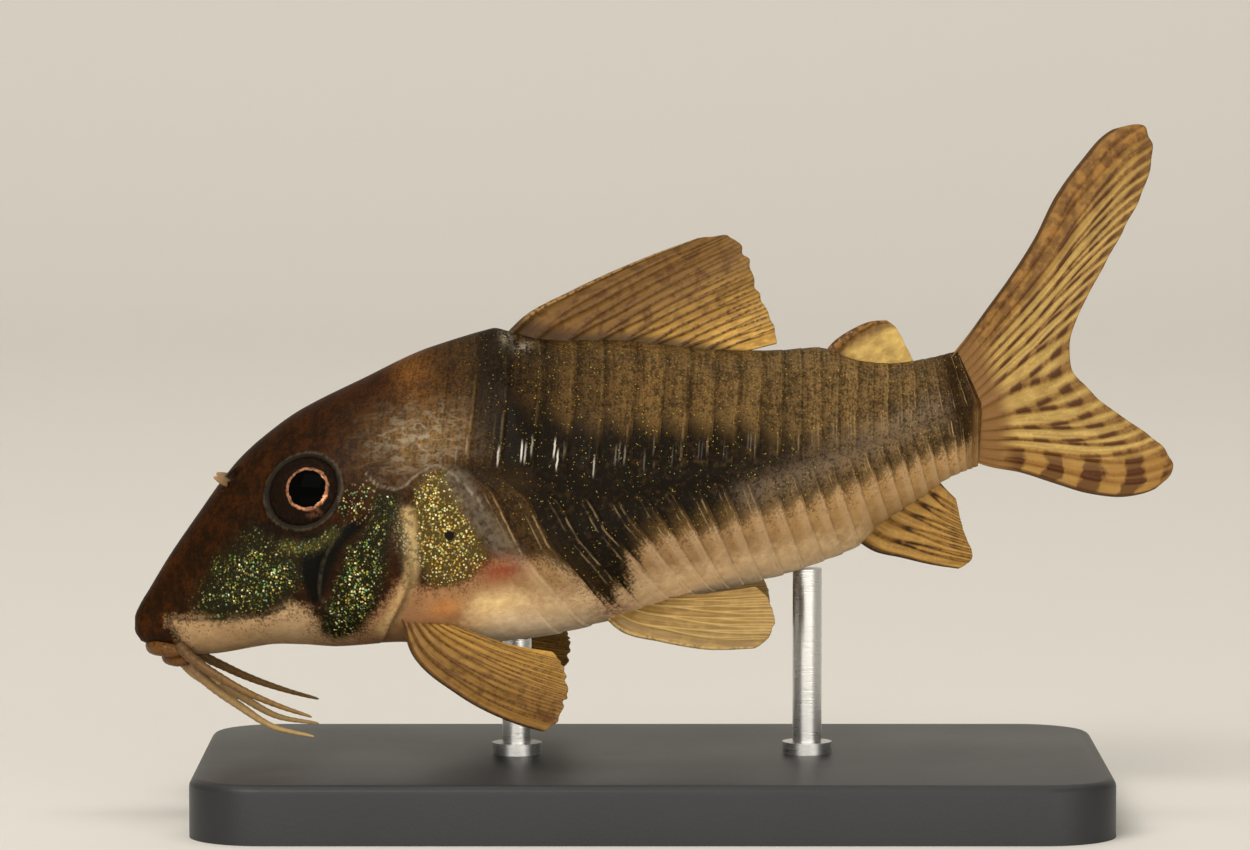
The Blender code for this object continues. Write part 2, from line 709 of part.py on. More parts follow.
def make_rod(name, x, parts):
    """A round rod from just above the base up into the belly at x, which is trimmed to it later."""
    belly = posed((x, 0.0, belly_line(x) + ROD_SUNK))
    foot = (BASE_HEIGHT + GAP) * MM
    bm = bmesh.new()
    bmesh.ops.create_cone(
        bm, cap_ends=True, segments=20, radius1=ROD_RADIUS * MM, radius2=ROD_RADIUS * MM,
        depth=belly.z - foot,
    )  # fmt: skip
    bm.transform(Matrix.Translation((belly.x, belly.y, (belly.z + foot) / 2)))
    mesh = bpy.data.meshes.new(name)
    bm.to_mesh(mesh)
    bm.free()
    rod = bpy.data.objects.new(name, mesh)
    parts.objects.link(rod)
    return rod


# Colour, roughness and metallic value.
MATERIALS = {
    "head": ((0.10, 0.065, 0.04), 0.4, 0.0),
    "torso": ((0.16, 0.11, 0.07), 0.35, 0.0),
    "tail_stem": ((0.22, 0.15, 0.09), 0.35, 0.0),
    "eye": ((0.01, 0.008, 0.008), 0.05, 0.0),
    "barbel": ((0.48, 0.33, 0.27), 0.45, 0.0),
    "dorsal_fin": ((0.34, 0.2, 0.08), 0.4, 0.0),
    "adipose_fin": ((0.3, 0.18, 0.08), 0.4, 0.0),
    "anal_fin": ((0.4, 0.27, 0.12), 0.4, 0.0),
    "caudal_fin": ((0.55, 0.38, 0.18), 0.4, 0.0),
    "pectoral_fin": ((0.42, 0.27, 0.12), 0.4, 0.0),
    "pelvic_fin": ((0.55, 0.42, 0.24), 0.4, 0.0),
    "stand_base": ((0.03, 0.03, 0.032), 0.3, 0.0),
    "stand_rod": ((0.7, 0.7, 0.7), 0.25, 1.0),
}


SHARP_ANGLE = math.radians(40)


def dress(obj):
    """Gives the object its own material, from the longest entry that its name begins with."""
    kind = max((key for key in MATERIALS if obj.name.startswith(key)), key=len)
    colour, roughness, metallic = MATERIALS[kind]
    material = bpy.data.materials.new(obj.name)
    material.use_nodes = True
    shader = material.node_tree.nodes["Principled BSDF"]
    shader.inputs["Base Color"].default_value = (*colour, 1.0)
    shader.inputs["Roughness"].default_value = roughness
    shader.inputs["Metallic"].default_value = metallic
    obj.data.materials.clear()
    obj.data.materials.append(material)
    obj.data.shade_smooth()
    obj.data.set_sharp_from_angle(angle=SHARP_ANGLE)


def main():
    discard(list(bpy.data.objects))
    parts = bpy.data.collections.new(OBJECT_NAME)
    tools = bpy.data.collections.new("cutters")
    for collection in (parts, tools):
        bpy.context.scene.collection.children.link(collection)
    tools.hide_render = True

    make_head(parts, tools)
    body_loft("torso", torso_stations(), parts)
    body_loft("tail_stem", stem_stations(), parts)
    make_eyes(parts)

    seat = body_loft("seat", head_stations() + torso_stations() + stem_stations(), tools, lift=GAP)
    mouth_seat = lips(tools, grow=GAP)
    feelers = make_barbels(parts)
    for feeler in feelers:
        boolean(feeler, mouth_seat + [seat], "DIFFERENCE")

    grown = [
        fin("dorsal_fin", DORSAL_FIN, parts),
        fin("adipose_fin", ADIPOSE_FIN, parts),
        fin("anal_fin", ANAL_FIN, parts),
        fin("caudal_fin_upper", CAUDAL_UPPER, parts),
        fin("caudal_fin_lower", CAUDAL_LOWER, parts),
        make_rod("stand_rod_front", ROD_FRONT_X, parts),
        make_rod("stand_rod_rear", ROD_REAR_X, parts),
    ]
    for side, word in ((-1, "left"), (1, "right")):
        grown.append(fin("pectoral_fin_" + word, PECTORAL_FIN, parts, side))
        grown.append(fin("pelvic_fin_" + word, PELVIC_FIN, parts, side))
    for piece in grown:
        boolean(piece, [seat], "DIFFERENCE")
    discard(mouth_seat + [seat])
    base = make_base(parts)

    fish = [obj for obj in parts.objects if obj is not base]
    places = [vertex.co.x for obj in fish for vertex in obj.data.vertices]
    middle = Matrix.Translation((-(min(places) + max(places)) / 2, 0.0, 0.0))
    for obj in fish:
        obj.data.transform(middle)
    for obj in parts.objects:
        dress(obj)


main()
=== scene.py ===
"""The looks of a life-size corydoras catfish display model.

The fish's own frame is in millimetres: x runs from the tip of the snout towards the tail, y to
the fish's right and z towards its back. Pose turns it into the model's frame, in metres.
"""

import logging
import math
from collections.abc import Callable, Sequence
from dataclasses import dataclass, field, fields, replace
from enum import Enum
from functools import cached_property

import bmesh
import bpy
import numpy as np
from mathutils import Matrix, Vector


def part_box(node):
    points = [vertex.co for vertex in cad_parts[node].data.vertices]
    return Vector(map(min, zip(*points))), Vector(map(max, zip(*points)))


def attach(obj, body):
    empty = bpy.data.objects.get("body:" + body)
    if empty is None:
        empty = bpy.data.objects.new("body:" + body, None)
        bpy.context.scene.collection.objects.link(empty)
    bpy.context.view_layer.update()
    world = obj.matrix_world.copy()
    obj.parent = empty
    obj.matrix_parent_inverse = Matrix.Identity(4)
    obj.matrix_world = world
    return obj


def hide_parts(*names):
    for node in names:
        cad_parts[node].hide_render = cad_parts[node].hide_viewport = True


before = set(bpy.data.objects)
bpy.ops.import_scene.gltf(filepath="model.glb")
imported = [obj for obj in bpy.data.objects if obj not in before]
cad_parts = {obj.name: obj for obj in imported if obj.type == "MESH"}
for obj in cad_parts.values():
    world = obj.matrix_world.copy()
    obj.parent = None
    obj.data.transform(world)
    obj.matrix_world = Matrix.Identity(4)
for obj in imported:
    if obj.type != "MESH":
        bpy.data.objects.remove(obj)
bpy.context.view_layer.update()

LOG = logging.getLogger("catfish")
MM = 0.001
BODY = "root"
LENGTH = 60.0  # millimetres from the snout's tip to the end of the tail's stem
WELD = 0.0008 * MM  # how near to each other points are merged
SLIVER = 0.0004 * MM  # how short an edge is taken out
FAR = 1e9  # millimetres, farther than anything on the fish
TINY = 1e-9  # the least length that is divided by
SAMPLES = 24000  # how many places are tried where lines crowd together

Array = np.ndarray
Material = bpy.types.Material
Piece = bpy.types.Object
Colour = tuple[float, float, float]
Tones = tuple[Colour, Colour]
Place = tuple[float, float, float]
Points = Sequence[Sequence[float]]
Seat = tuple[Array, Array, Array, Array]
Number = Callable[[Array, Array, Array], Array]
Chart = Callable[[Array, Array], tuple[Array, Array]]


class Side(Enum):
    """The two sides of the fish, valued by the sign of y there."""

    LEFT = -1
    RIGHT = 1

    @property
    def word(self) -> str:
        """Returns the side's name as the nodes spell it."""
        return self.name.lower()


def smoothstep(t: Array | float) -> Array:
    """Returns a soft step from 0 to 1 as t goes from 0 to 1."""
    t = np.clip(t, 0.0, 1.0)
    return t * t * (3 - 2 * t)


@dataclass(frozen=True)
class Line:
    """A smooth line through a few (x, value) points, which never overshoots them unless free."""

    points: Points
    free: bool = False

    @cached_property
    def fit(self) -> tuple[Array, Array, Array]:
        """Returns the places, the values and the slopes at the points.

        Returns:
            Three arrays with one number for each point.
        """
        xs, ys = np.array(self.points, float).T
        if self.free:
            return xs, ys, np.gradient(ys, xs)
        slopes = np.diff(ys) / np.diff(xs)
        before, after = slopes[:-1], slopes[1:]
        turning = before * after <= 0
        both = np.where(turning, 1.0, before + after)
        inner = np.where(turning, 0.0, 2 * before * after / both)
        return xs, ys, np.concatenate(([slopes[0]], inner, [slopes[-1]]))

    def __call__(self, x: Array | float) -> Array:
        """Returns the line's value at x.

        Args:
            x: One place or an array of them, held inside the line's own range.

        Returns:
            The value or values there.
        """
        xs, ys, slopes = self.fit
        x = np.clip(x, xs[0], xs[-1])
        i = np.clip(np.searchsorted(xs, x, side="right") - 1, 0, len(xs) - 2)
        width = xs[i + 1] - xs[i]
        t = (x - xs[i]) / width
        start = ((1 + 2 * t) * ys[i] + t * width * slopes[i]) * (1 - t) ** 2
        end = ((3 - 2 * t) * ys[i + 1] + (t - 1) * width * slopes[i + 1]) * t * t
        return start + end


@dataclass(frozen=True)
class Path:
    """A smooth line through points in space, read by the share of its length."""

    points: Points

    @cached_property
    def axes(self) -> tuple[list[Line], float]:
        """Returns a line for each axis over the distance run, and the whole length.

        Returns:
            The lines, and the length.
        """
        points = np.array(self.points, float)
        runs = np.linalg.norm(np.diff(points, axis=0), axis=1)
        reach = np.concatenate(([0.0], np.cumsum(runs)))
        return [Line(tuple(zip(reach, column)), free=True) for column in points.T], reach[-1]

    def __call__(self, share: Array) -> Array:
        """Returns the points at shares of the length from 0 to 1, one in each row."""
        lines, length = self.axes
        return np.stack([line(share * length) for line in lines], axis=-1)


def on_side(points: Points, side: Side) -> list[tuple[float, ...]]:
    """Returns points of the right side moved to a side of the fish."""
    return [(x, y * side.value, z) for x, y, z in points]


def in_middle(points: Points) -> list[Place]:
    """Returns (x, z) points as points in the fish's middle plane."""
    return [(x, 0.0, z) for x, z in points]


@dataclass(frozen=True)
class Outline:
    """A closed outline on the fish's flank, as (x, z) points."""

    points: Points

    def depth(self, x: Array, z: Array) -> Array:
        """Returns how far each place lies inside the outline, negative outside.

        Args:
            x: Places along the fish.
            z: Places up the fish.

        Returns:
            The distance to the outline in millimetres, with its sign.
        """
        nearest = np.full(x.shape, FAR)
        inside = np.zeros(x.shape, bool)
        for (x0, z0), (x1, z1) in zip(self.points, [*self.points[1:], self.points[0]]):
            run_x, run_z = x1 - x0, z1 - z0
            share = ((x - x0) * run_x + (z - z0) * run_z) / (run_x**2 + run_z**2)
            share = np.clip(share, 0.0, 1.0)
            nearest = np.minimum(nearest, np.hypot(x - x0 - share * run_x, z - z0 - share * run_z))
            crosses = (z0 > z) != (z1 > z)
            with np.errstate(divide="ignore", invalid="ignore"):
                inside ^= crosses & (x < x0 + (z - z0) * run_x / run_z)
        return np.where(inside, nearest, -nearest)


@dataclass(frozen=True)
class Stroke:
    """A soft stroke along a line on the fish's flank, as (x, z) points with a half width."""

    points: Points
    width: float

    def strength(self, x: Array, z: Array) -> Array:
        """Returns 1 on the stroke's line, falling to 0 past its half width.

        Args:
            x: Places along the fish.
            z: Places up the fish.

        Returns:
            The strength at each place.
        """
        along = Path(self.points)(np.linspace(0.0, 1.0, 60))
        nearest = np.full(x.shape, FAR)
        for px, pz in along:
            nearest = np.minimum(nearest, np.hypot(x - px, z - pz))
        return np.exp(-((nearest / self.width) ** 2))


@dataclass(frozen=True)
class Spot:
    """A soft oval on the flank."""

    x: float
    z: float
    long: float
    high: float

    def mask(self, shader: "Shader") -> "Signal":
        """Returns 1 in the middle of the spot, falling to 0 round it.

        Args:
            shader: The material's shader.

        Returns:
            The mask.
        """
        along = (shader.attribute("seen_x") - self.x) / self.long
        up = (shader.attribute("seen_z") - self.z) / self.high
        return ((along * along + up * up) * -1.0).math("EXPONENT")


@dataclass(frozen=True)
class Pose:
    """How the fish's frame lies in the model's: nose down, tail swung, over the stand."""

    nose_down: float = math.radians(14.2)
    sway: float = 3.5
    sway_start: float = 30.0
    sway_reach: float = 45.0
    snout_height: float = 12.9
    rod_x: float = 25.5
    rod_sunk: float = 1.5
    look_down: float = math.radians(4.5)
    viewer: Place = (44.5, -448.6, 39.3)

    @cached_property
    def shift(self) -> float:
        """Returns how far the fish moves along X so that the front rod meets its place.

        Returns:
            The distance in millimetres.
        """
        low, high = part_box("stand_rod_front")
        belly = TRUNK.belly(self.rod_x) + self.rod_sunk
        along = self.rod_x * math.cos(self.nose_down) - belly * math.sin(self.nose_down)
        return (low.x + high.x) / 2 / MM - along

    def place(self, points: Array) -> Array:
        """Returns points of the fish's frame in the model's frame.

        Args:
            points: One (x, y, z) in each row, in millimetres.

        Returns:
            The same points in metres.
        """
        x, y, z = points.T
        swing = self.sway * np.maximum(0.0, (x - self.sway_start) / self.sway_reach) ** 2
        cos, sin = math.cos(self.nose_down), math.sin(self.nose_down)
        up = x * sin + z * cos + self.snout_height
        return np.stack([x * cos - z * sin + self.shift, y + swing, up], axis=-1) * MM

    def seen(self, points: Array) -> tuple[Array, Array]:
        """Returns where points of either flank show in the middle plane to the photograph's viewer.

        Args:
            points: One (x, y, z) in each row, in the fish's frame.

        Returns:
            The x and the z of each point's image in the middle plane.
        """
        x, y, z = points.T
        viewer_x, viewer_y, viewer_z = self.viewer
        near = viewer_y / (viewer_y + np.abs(y))
        return viewer_x + (x - viewer_x) * near, viewer_z + (z - viewer_z) * near


@dataclass(frozen=True)
class Trunk:
    """The form of the head, the torso and the tail's stem, in the fish's frame."""

    back: Line = Line([
        (-0.18, -0.35), (0.0, 0.45), (0.66, 1.34), (1.5, 2.17), (3.43, 4.07), (6.1, 6.41),
        (8.2, 8.2), (9.75, 9.34), (11.5, 10.3), (14.6, 11.55), (19.1, 12.55), (24.4, 13.55),
        (28.7, 13.75), (29.8, 13.25), (31.8, 12.2), (37.0, 10.8), (43.4, 8.5), (47.5, 7.4),
        (50.1, 6.9), (52.4, 5.4), (55.3, 4.5), (58.0, 4.3), (60.5, 4.3),
    ])
    belly: Line = Line([
        (-0.18, -0.5), (0.0, -1.1), (0.75, -1.6), (2.4, -2.5), (3.7, -3.0), (5.3, -3.28),
        (8.6, -3.5), (10.75, -4.0), (13.25, -4.75), (17.3, -5.4), (20.0, -6.1), (25.3, -7.15),
        (29.2, -7.5), (37.9, -7.35), (43.7, -7.5), (47.7, -7.2), (49.3, -6.9), (51.2, -5.8),
        (54.1, -4.85), (56.8, -3.9), (60.5, -3.5),
    ])
    lateral: Line = Line([
        (0.0, 0.0), (10.0, 3.3), (20.0, 5.5), (24.5, 5.2), (29.2, 3.3), (33.2, 2.15),
        (37.2, 1.25), (41.3, 0.65), (50.0, -0.15), (56.0, 0.2), (60.5, 0.4),
    ])
    half_width: Line = Line([
        (-0.18, 0.1), (0.0, 0.75), (0.7, 1.35), (1.5, 1.8), (3.4, 2.65), (6.0, 3.8),
        (10.0, 5.2), (13.4, 6.2), (17.0, 7.1), (20.0, 7.6), (23.5, 7.9), (27.5, 7.85),
        (32.0, 7.4), (38.0, 6.5), (44.0, 5.3), (50.0, 3.9), (55.0, 2.6), (60.5, 1.5),
    ])
    widest: Line = Line([
        (-0.18, -0.42), (0.7, -0.3), (5.0, -0.5), (15.0, -0.3), (25.0, -1.4), (40.0, -0.4),
        (60.5, 0.3),
    ])
    power_above: Line = Line([
        (0.0, 2.1), (8.0, 1.9), (20.0, 1.8), (32.0, 1.6), (46.0, 1.75), (60.0, 2.1),
    ])
    power_below: Line = Line([
        (0.0, 2.1), (10.0, 2.5), (20.0, 2.9), (36.0, 2.8), (50.0, 2.1), (60.0, 2.0),
    ])
    gill_opening: Line = Line([
        (-1.0, 23.2), (-0.5, 21.3), (0.0, 20.0), (0.15, 19.85), (0.25, 19.5), (0.38, 18.7),
        (0.55, 17.3), (0.75, 16.3), (1.0, 15.7),
    ])
    sweep_above: Line = Line([(20.0, 2.75), (34.0, 2.75), (50.0, 1.7), (55.0, 0.9), (60.0, -0.6)])
    sweep_below: Line = Line([
        (20.0, 4.5), (31.0, 4.3), (41.0, 0.9), (50.0, 0.5), (55.0, 0.1), (60.0, -1.1),
    ])
    plate_pitch: Line = Line([(20.0, 2.1), (29.5, 2.05), (40.0, 1.7), (51.6, 1.15), (60.5, 0.8)])
    plate_rise: Line = Line([(20.0, 0.4), (40.0, 0.36), (60.0, 0.22)])
    snout_x: float = -0.15
    gill_x: float = 20.0
    first_plate_x: float = 23.0
    tail_end_x: float = 59.7
    groove_row: float = 0.05
    groove_depth: float = 0.07
    cover_rise: float = 0.26
    cover_start: float = 14.0
    cover_reach: float = 4.5

    @cached_property
    def plate_starts(self) -> Array:
        """Returns where each plate begins on the lateral line, and where the last one ends.

        Returns:
            The places, from front to rear.
        """
        starts = [self.first_plate_x]
        while starts[-1] + self.plate_pitch(starts[-1]) < self.tail_end_x:
            starts.append(starts[-1] + float(self.plate_pitch(starts[-1])))
        return np.array([*starts, self.tail_end_x])

    def plate_count(self, u: Array) -> Array:
        """Returns how many plates lie in front of u, negative before the first.

        Args:
            u: Places on the lateral line.

        Returns:
            The count at each place.
        """
        starts = self.plate_starts
        count = np.interp(u, starts, np.arange(len(starts)))
        return np.where(u < starts[0], (u - starts[0]) / (starts[1] - starts[0]), count)

    def section(self, x: Array, angle: Array, lift: Array | float = 0.0) -> tuple[Array, Array]:
        """Returns points of the cross sections.

        Args:
            x: Where each section lies.
            angle: How far round from the back each point lies, from 0 to pi.
            lift: How far each point stands out of the plain section.

        Returns:
            Each point's y on the right side, and its z.
        """
        middle = self.widest(x)
        above = angle < math.pi / 2
        height = np.where(above, self.back(x) - middle, middle - self.belly(x))
        power = np.where(above, self.power_above(x), self.power_below(x))
        width = self.half_width(x)
        sine, cosine = np.abs(np.sin(angle)), np.cos(angle)
        scale = (sine**power + np.abs(cosine) ** power) ** (-1 / power)
        out_y = (scale * sine) ** (power - 1) / width
        out_z = np.copysign((scale * np.abs(cosine)) ** (power - 1) / height, cosine)
        length = np.hypot(out_y, out_z)
        y = width * scale * sine + lift * out_y / length
        return y, middle + height * scale * cosine + lift * out_z / length

    @cached_property
    def lateral_turns(self) -> tuple[Array, Array]:
        """Returns places along the fish and the angle at which each meets the lateral line.

        Returns:
            The places, and the angles.
        """
        x = np.linspace(-0.2, 65.0, 2600)
        low, high = np.zeros_like(x), np.full_like(x, math.pi)
        for _ in range(24):
            middle = (low + high) / 2
            over = self.section(x, middle)[1] > self.lateral(x)
            low, high = np.where(over, middle, low), np.where(over, high, middle)
        return x, low

    def station(self, u: Array, row: Array) -> Array:
        """Returns where the ring that crosses the lateral line at u lies on other rows.

        Args:
            u: The rings' places on the lateral line.
            row: The rows, from -1 on the back over 0 on the lateral line to 1 on the belly.

        Returns:
            The x of each place.
        """
        gill = self.gill_opening(row) - self.gill_x
        head = u + gill * (np.maximum(u, 0.0) / self.gill_x) ** 2.5
        sweep = np.where(row < 0, self.sweep_above(u), self.sweep_below(u))
        stagger = self.plate_pitch(u) / 2 * smoothstep((self.tail_end_x - u) / 2.5)
        shift = sweep * np.sin(math.pi / 2 * np.abs(row))
        shift += stagger * np.clip(row / self.groove_row, 0, 1)
        blend = smoothstep((u - self.gill_x) / (self.first_plate_x - self.gill_x))
        return np.where(u < self.gill_x, head, u + gill * (1 - blend) + shift * blend)

    def relief(self, u: Array, row: Array) -> Array:
        """Returns how far the plates, the gill cover and the lateral line stand out or in.

        Args:
            u: Places on the lateral line.
            row: The rows they lie in.

        Returns:
            The height at each place.
        """
        cover = smoothstep((row + 0.08) / 0.2) * smoothstep((0.86 - row) / 0.3)
        edge = 1 - smoothstep((u - self.gill_x + 0.3) / 0.3)
        swell = smoothstep((u - self.cover_start) / self.cover_reach)
        head = self.cover_rise * cover * swell * edge
        slit = np.exp(-(((u - self.gill_x - 0.04) / 0.13) ** 2)) * smoothstep((row - 0.05) / 0.2)
        head = head - 0.12 * slit * smoothstep((0.9 - row) / 0.25)

        share = self.plate_count(u) % 1.0
        grown = 1 - (1 - np.clip(share / 0.9, 0, 1)) ** 1.7
        rise = np.where(share < 0.92, grown, 1 - smoothstep((share - 0.92) / 0.06))
        shoulder = smoothstep((u - self.gill_x) / 2.0) * (1 - smoothstep((u - 22.85) / 0.15))
        rise = np.where(u < self.first_plate_x, shoulder, rise)
        ends = smoothstep(np.abs(row) / (2 * self.groove_row))
        fade = np.where(row > 0, 0.16, 0.2)
        armour = smoothstep((u - 40.0) / 8.0)
        ends = ends * np.maximum(smoothstep((1.0 - np.abs(row)) / fade), armour)
        groove = np.exp(-((row / (self.groove_row * 0.8)) ** 2)) * smoothstep((u - 22.5) / 1.5)
        canal = np.exp(-(((row + 0.085) / 0.035) ** 2)) * np.exp(-(((share - 0.62) / 0.2) ** 2))
        canal = canal * smoothstep((u - 22.5) / 1.5) * (1 - smoothstep((u - 44.0) / 8.0))
        height = np.where(row < 0, 0.13, 0.24) * self.plate_rise(u)
        plates = height * rise * ends - self.groove_depth * groove + 0.09 * canal
        return np.where(u < self.gill_x, head, plates * smoothstep((u - self.gill_x) / 0.3) + head)

    def flank(self, x: Array, z: Array) -> Array:
        """Returns the y of the right flank at places given by their x and z.

        Args:
            x: Places along the fish.
            z: Places up the fish.

        Returns:
            The y at each place.
        """
        middle = self.widest(x)
        above = z > middle
        height = np.where(above, self.back(x) - middle, middle - self.belly(x))
        power = np.where(above, self.power_above(x), self.power_below(x))
        share = np.minimum(np.abs(z - middle) / height, 1.0)
        return self.half_width(x) * (1 - share**power) ** (1 / power)

    def seat(self, x: float, z: float, side: Side) -> Seat:
        """Returns the frame of a small part that sits on the skin.

        Args:
            x: Where it sits along the fish.
            z: Where it sits up the fish.
            side: Which side it is on.

        Returns:
            Its place, and the directions along the skin, up the skin and out of it.
        """
        step = 0.05
        slope_x = (self.flank(x + step, z) - self.flank(x - step, z)) / (2 * step)
        slope_z = (self.flank(x, z + step) - self.flank(x, z - step)) / (2 * step)
        out = np.array([-slope_x, side.value, -slope_z], float)
        out /= np.linalg.norm(out)
        along = np.array([1.0, 0.0, 0.0]) - out * out[0]
        along /= np.linalg.norm(along)
        up = np.cross(out, along) * side.value * -1
        return np.array([x, self.flank(x, z) * side.value, z], float), along, up, out


TRUNK = Trunk()
POSE = Pose()


# Shaders


class Signal:
    """A shader socket that takes part in Python expressions."""

    def __init__(self, shader: "Shader", socket: bpy.types.NodeSocket) -> None:
        """Wraps an output socket of a shader's node."""
        self.shader = shader
        self.socket = socket

    def math(self, operation: str, *others: "Signal | float") -> "Signal":
        """Returns the result of a Math node on this signal and others."""
        values = dict(enumerate((self, *others)))
        return self.shader.node("ShaderNodeMath", {"operation": operation}, values)

    def __add__(self, other: "Signal | float") -> "Signal":
        """Returns the sum."""
        return self.math("ADD", other)

    def __sub__(self, other: "Signal | float") -> "Signal":
        """Returns the difference."""
        return self.math("SUBTRACT", other)

    def __rsub__(self, other: float) -> "Signal":
        """Returns a number less this signal."""
        return self.shader.node("ShaderNodeMath", {"operation": "SUBTRACT"}, {0: other, 1: self})

    def __mul__(self, other: "Signal | float") -> "Signal":
        """Returns the product."""
        return self.math("MULTIPLY", other)

    def __truediv__(self, other: "Signal | float") -> "Signal":
        """Returns the quotient."""
        return self.math("DIVIDE", other)

    def __abs__(self) -> "Signal":
        """Returns the distance from 0."""
        return self.math("ABSOLUTE")

    __radd__ = __add__
    __rmul__ = __mul__

    def whole(self) -> "Signal":
        """Returns the whole part."""
        return self.math("FLOOR")

    def rest(self) -> "Signal":
        """Returns what is left past the whole part."""
        return self.math("FRACT")

    def within(self, start: float, full: float, fading: float, end: float) -> "Signal":
        """Returns a soft rise from start to full, times a soft fall from fading to end."""
        return self.step(start, full) * self.step(end, fading)

    def step(self, low: float, high: float) -> "Signal":
        """Returns a soft step from 0 at low to 1 at high, whichever of them is the greater.

        Args:
            low: Where the step is 0.
            high: Where it is 1.

        Returns:
            The step.
        """
        first, last, start, end = (low, high, 0.0, 1.0) if low < high else (high, low, 1.0, 0.0)
        return self.shader.node(
            "ShaderNodeMapRange",
            {"interpolation_type": "SMOOTHSTEP"},
            {"Value": self, "From Min": first, "From Max": last, "To Min": start, "To Max": end},
        )


Value = Signal | float | Colour
Layer = tuple[Value, Value]


class Shader:
    """The node tree of one material."""

    def __init__(self, name: str) -> None:
        """Makes an empty material of that name.

        Args:
            name: The material's name.
        """
        self.material = bpy.data.materials.new(name)
        self.material.use_nodes = True
        self.tree = self.material.node_tree
        self.tree.nodes.clear()

    def node(
        self,
        kind: str,
        settings: dict[str, object] | None = None,
        values: dict[int | str, Value] | None = None,
        output: int | str = 0,
    ) -> Signal:
        """Adds a node.

        Args:
            kind: The node's type.
            settings: Its own settings, and a ramp's stops under "stops", set before anything else.
            values: What each input socket holds or is linked to.
            output: The output socket to read.

        Returns:
            The output's signal.
        """
        node = self.tree.nodes.new(kind)
        for name, setting in (settings or {}).items():
            if name != "stops":
                setattr(node, name, setting)
                continue
            elements = node.color_ramp.elements
            while len(elements) < len(setting):
                elements.new(0.5)
            for element, (place, colour) in zip(elements, setting):
                element.position = place
                element.color = (*colour, 1.0)
        for name, value in (values or {}).items():
            if isinstance(value, Signal):
                self.tree.links.new(value.socket, node.inputs[name])
            elif isinstance(value, tuple) and len(value) == 3 and node.inputs[name].type == "RGBA":
                node.inputs[name].default_value = (*value, 1.0)
            else:
                node.inputs[name].default_value = value
        return Signal(self, node.outputs[output])

    def mix(self, share: Value, low: Value, high: Value) -> Signal:
        """Returns a colour between two, by a share from 0 to 1."""
        return self.node("ShaderNodeMix", {"data_type": "RGBA"}, {0: share, 6: low, 7: high}, 2)

    def attribute(self, name: str) -> Signal:
        """Returns a number that the mesh carries at its vertices."""
        return self.node("ShaderNodeAttribute", {"attribute_name": name}, output="Fac")

    def place(self) -> Signal:
        """Returns the place on the object, in metres."""
        return self.node("ShaderNodeTexCoord", output="Object")

    def chart(self, name: str) -> tuple[Signal, Signal]:
        """Returns the two coordinates of one of the mesh's own maps."""
        chart = self.node("ShaderNodeUVMap", {"uv_map": name})
        return tuple(self.node("ShaderNodeSeparateXYZ", None, {0: chart}, axis) for axis in (0, 1))

    def vector(self, operation: str, values: dict[int | str, Value | Place]) -> Signal:
        """Returns the result of a Vector Math node."""
        return self.node("ShaderNodeVectorMath", {"operation": operation}, values)

    def random(self, value: Signal) -> Signal:
        """Returns a random number for each value."""
        return self.node("ShaderNodeTexWhiteNoise", {"noise_dimensions": "1D"}, {"W": value})

    def noise(self, place: Signal, size: float, detail: float, output: int | str = 0) -> Signal:
        """Returns soft noise with features of a size in the place's own unit."""
        values = {"Vector": place, "Scale": 1 / size, "Detail": detail}
        return self.node("ShaderNodeTexNoise", None, values, output)

    def cells(self, place: Signal, size: float) -> tuple[Signal, Signal, Signal]:
        """Returns the distance from each cell's middle and two random numbers for each cell.

        Args:
            place: Where the cells are looked up.
            size: One cell's width.

        Returns:
            The distance, and the two numbers.
        """
        reach = self.node("ShaderNodeTexVoronoi", None, {"Vector": place, "Scale": 1 / size})
        colour = {0: Signal(self, reach.socket.node.outputs["Color"])}
        return reach, *(self.node("ShaderNodeSeparateColor", None, colour, i) for i in (0, 1))

    def lay(self, colour: Value, *layers: Layer) -> Value:
        """Returns a colour with others laid over it in turn, each given as its mask and itself.

        Args:
            colour: The ground.
            layers: Each layer's mask and colour.

        Returns:
            The colour with all of them.
        """
        for mask, tint in layers:
            colour = self.mix(mask, colour, tint)
        return colour

    def times(self, colour: Value, other: Value) -> Signal:
        """Returns one colour times another."""
        settings = {"data_type": "RGBA", "blend_type": "MULTIPLY"}
        return self.node("ShaderNodeMix", settings, {0: 1.0, 6: colour, 7: other}, 2)

    def ramp(self, value: Signal, stops: Sequence[tuple[float, Colour]]) -> Signal:
        """Returns the colour that a ramp gives a value."""
        return self.node("ShaderNodeValToRGB", {"stops": stops}, {0: value})

    def finish(
        self, surface: dict[str, Value], bump: Signal | None = None, height: float = 0.0
    ) -> Material:
        """Ends the material with its surface.

        Args:
            surface: What each socket of the Principled BSDF holds or is linked to.
            bump: A relief from 0 to 1, if the surface has one.
            height: The relief's height in metres.

        Returns:
            The finished material.
        """
        if bump is not None:
            values = {"Height": bump, "Distance": height, "Strength": 1.0}
            surface = {**surface, "Normal": self.node("ShaderNodeBump", None, values)}
        shading = self.node("ShaderNodeBsdfPrincipled", None, surface)
        output = self.tree.nodes.new("ShaderNodeOutputMaterial")
        self.tree.links.new(shading.socket, output.inputs["Surface"])
        return self.material


# Meshes


def linked(name: str, data: bpy.types.ID) -> Piece:
    """Returns a new object of the scene that shows some data.

    Args:
        name: The object's name.
        data: What it shows.

    Returns:
        The object.
    """
    piece = bpy.data.objects.new(name, data)
    bpy.context.scene.collection.objects.link(piece)
    return piece


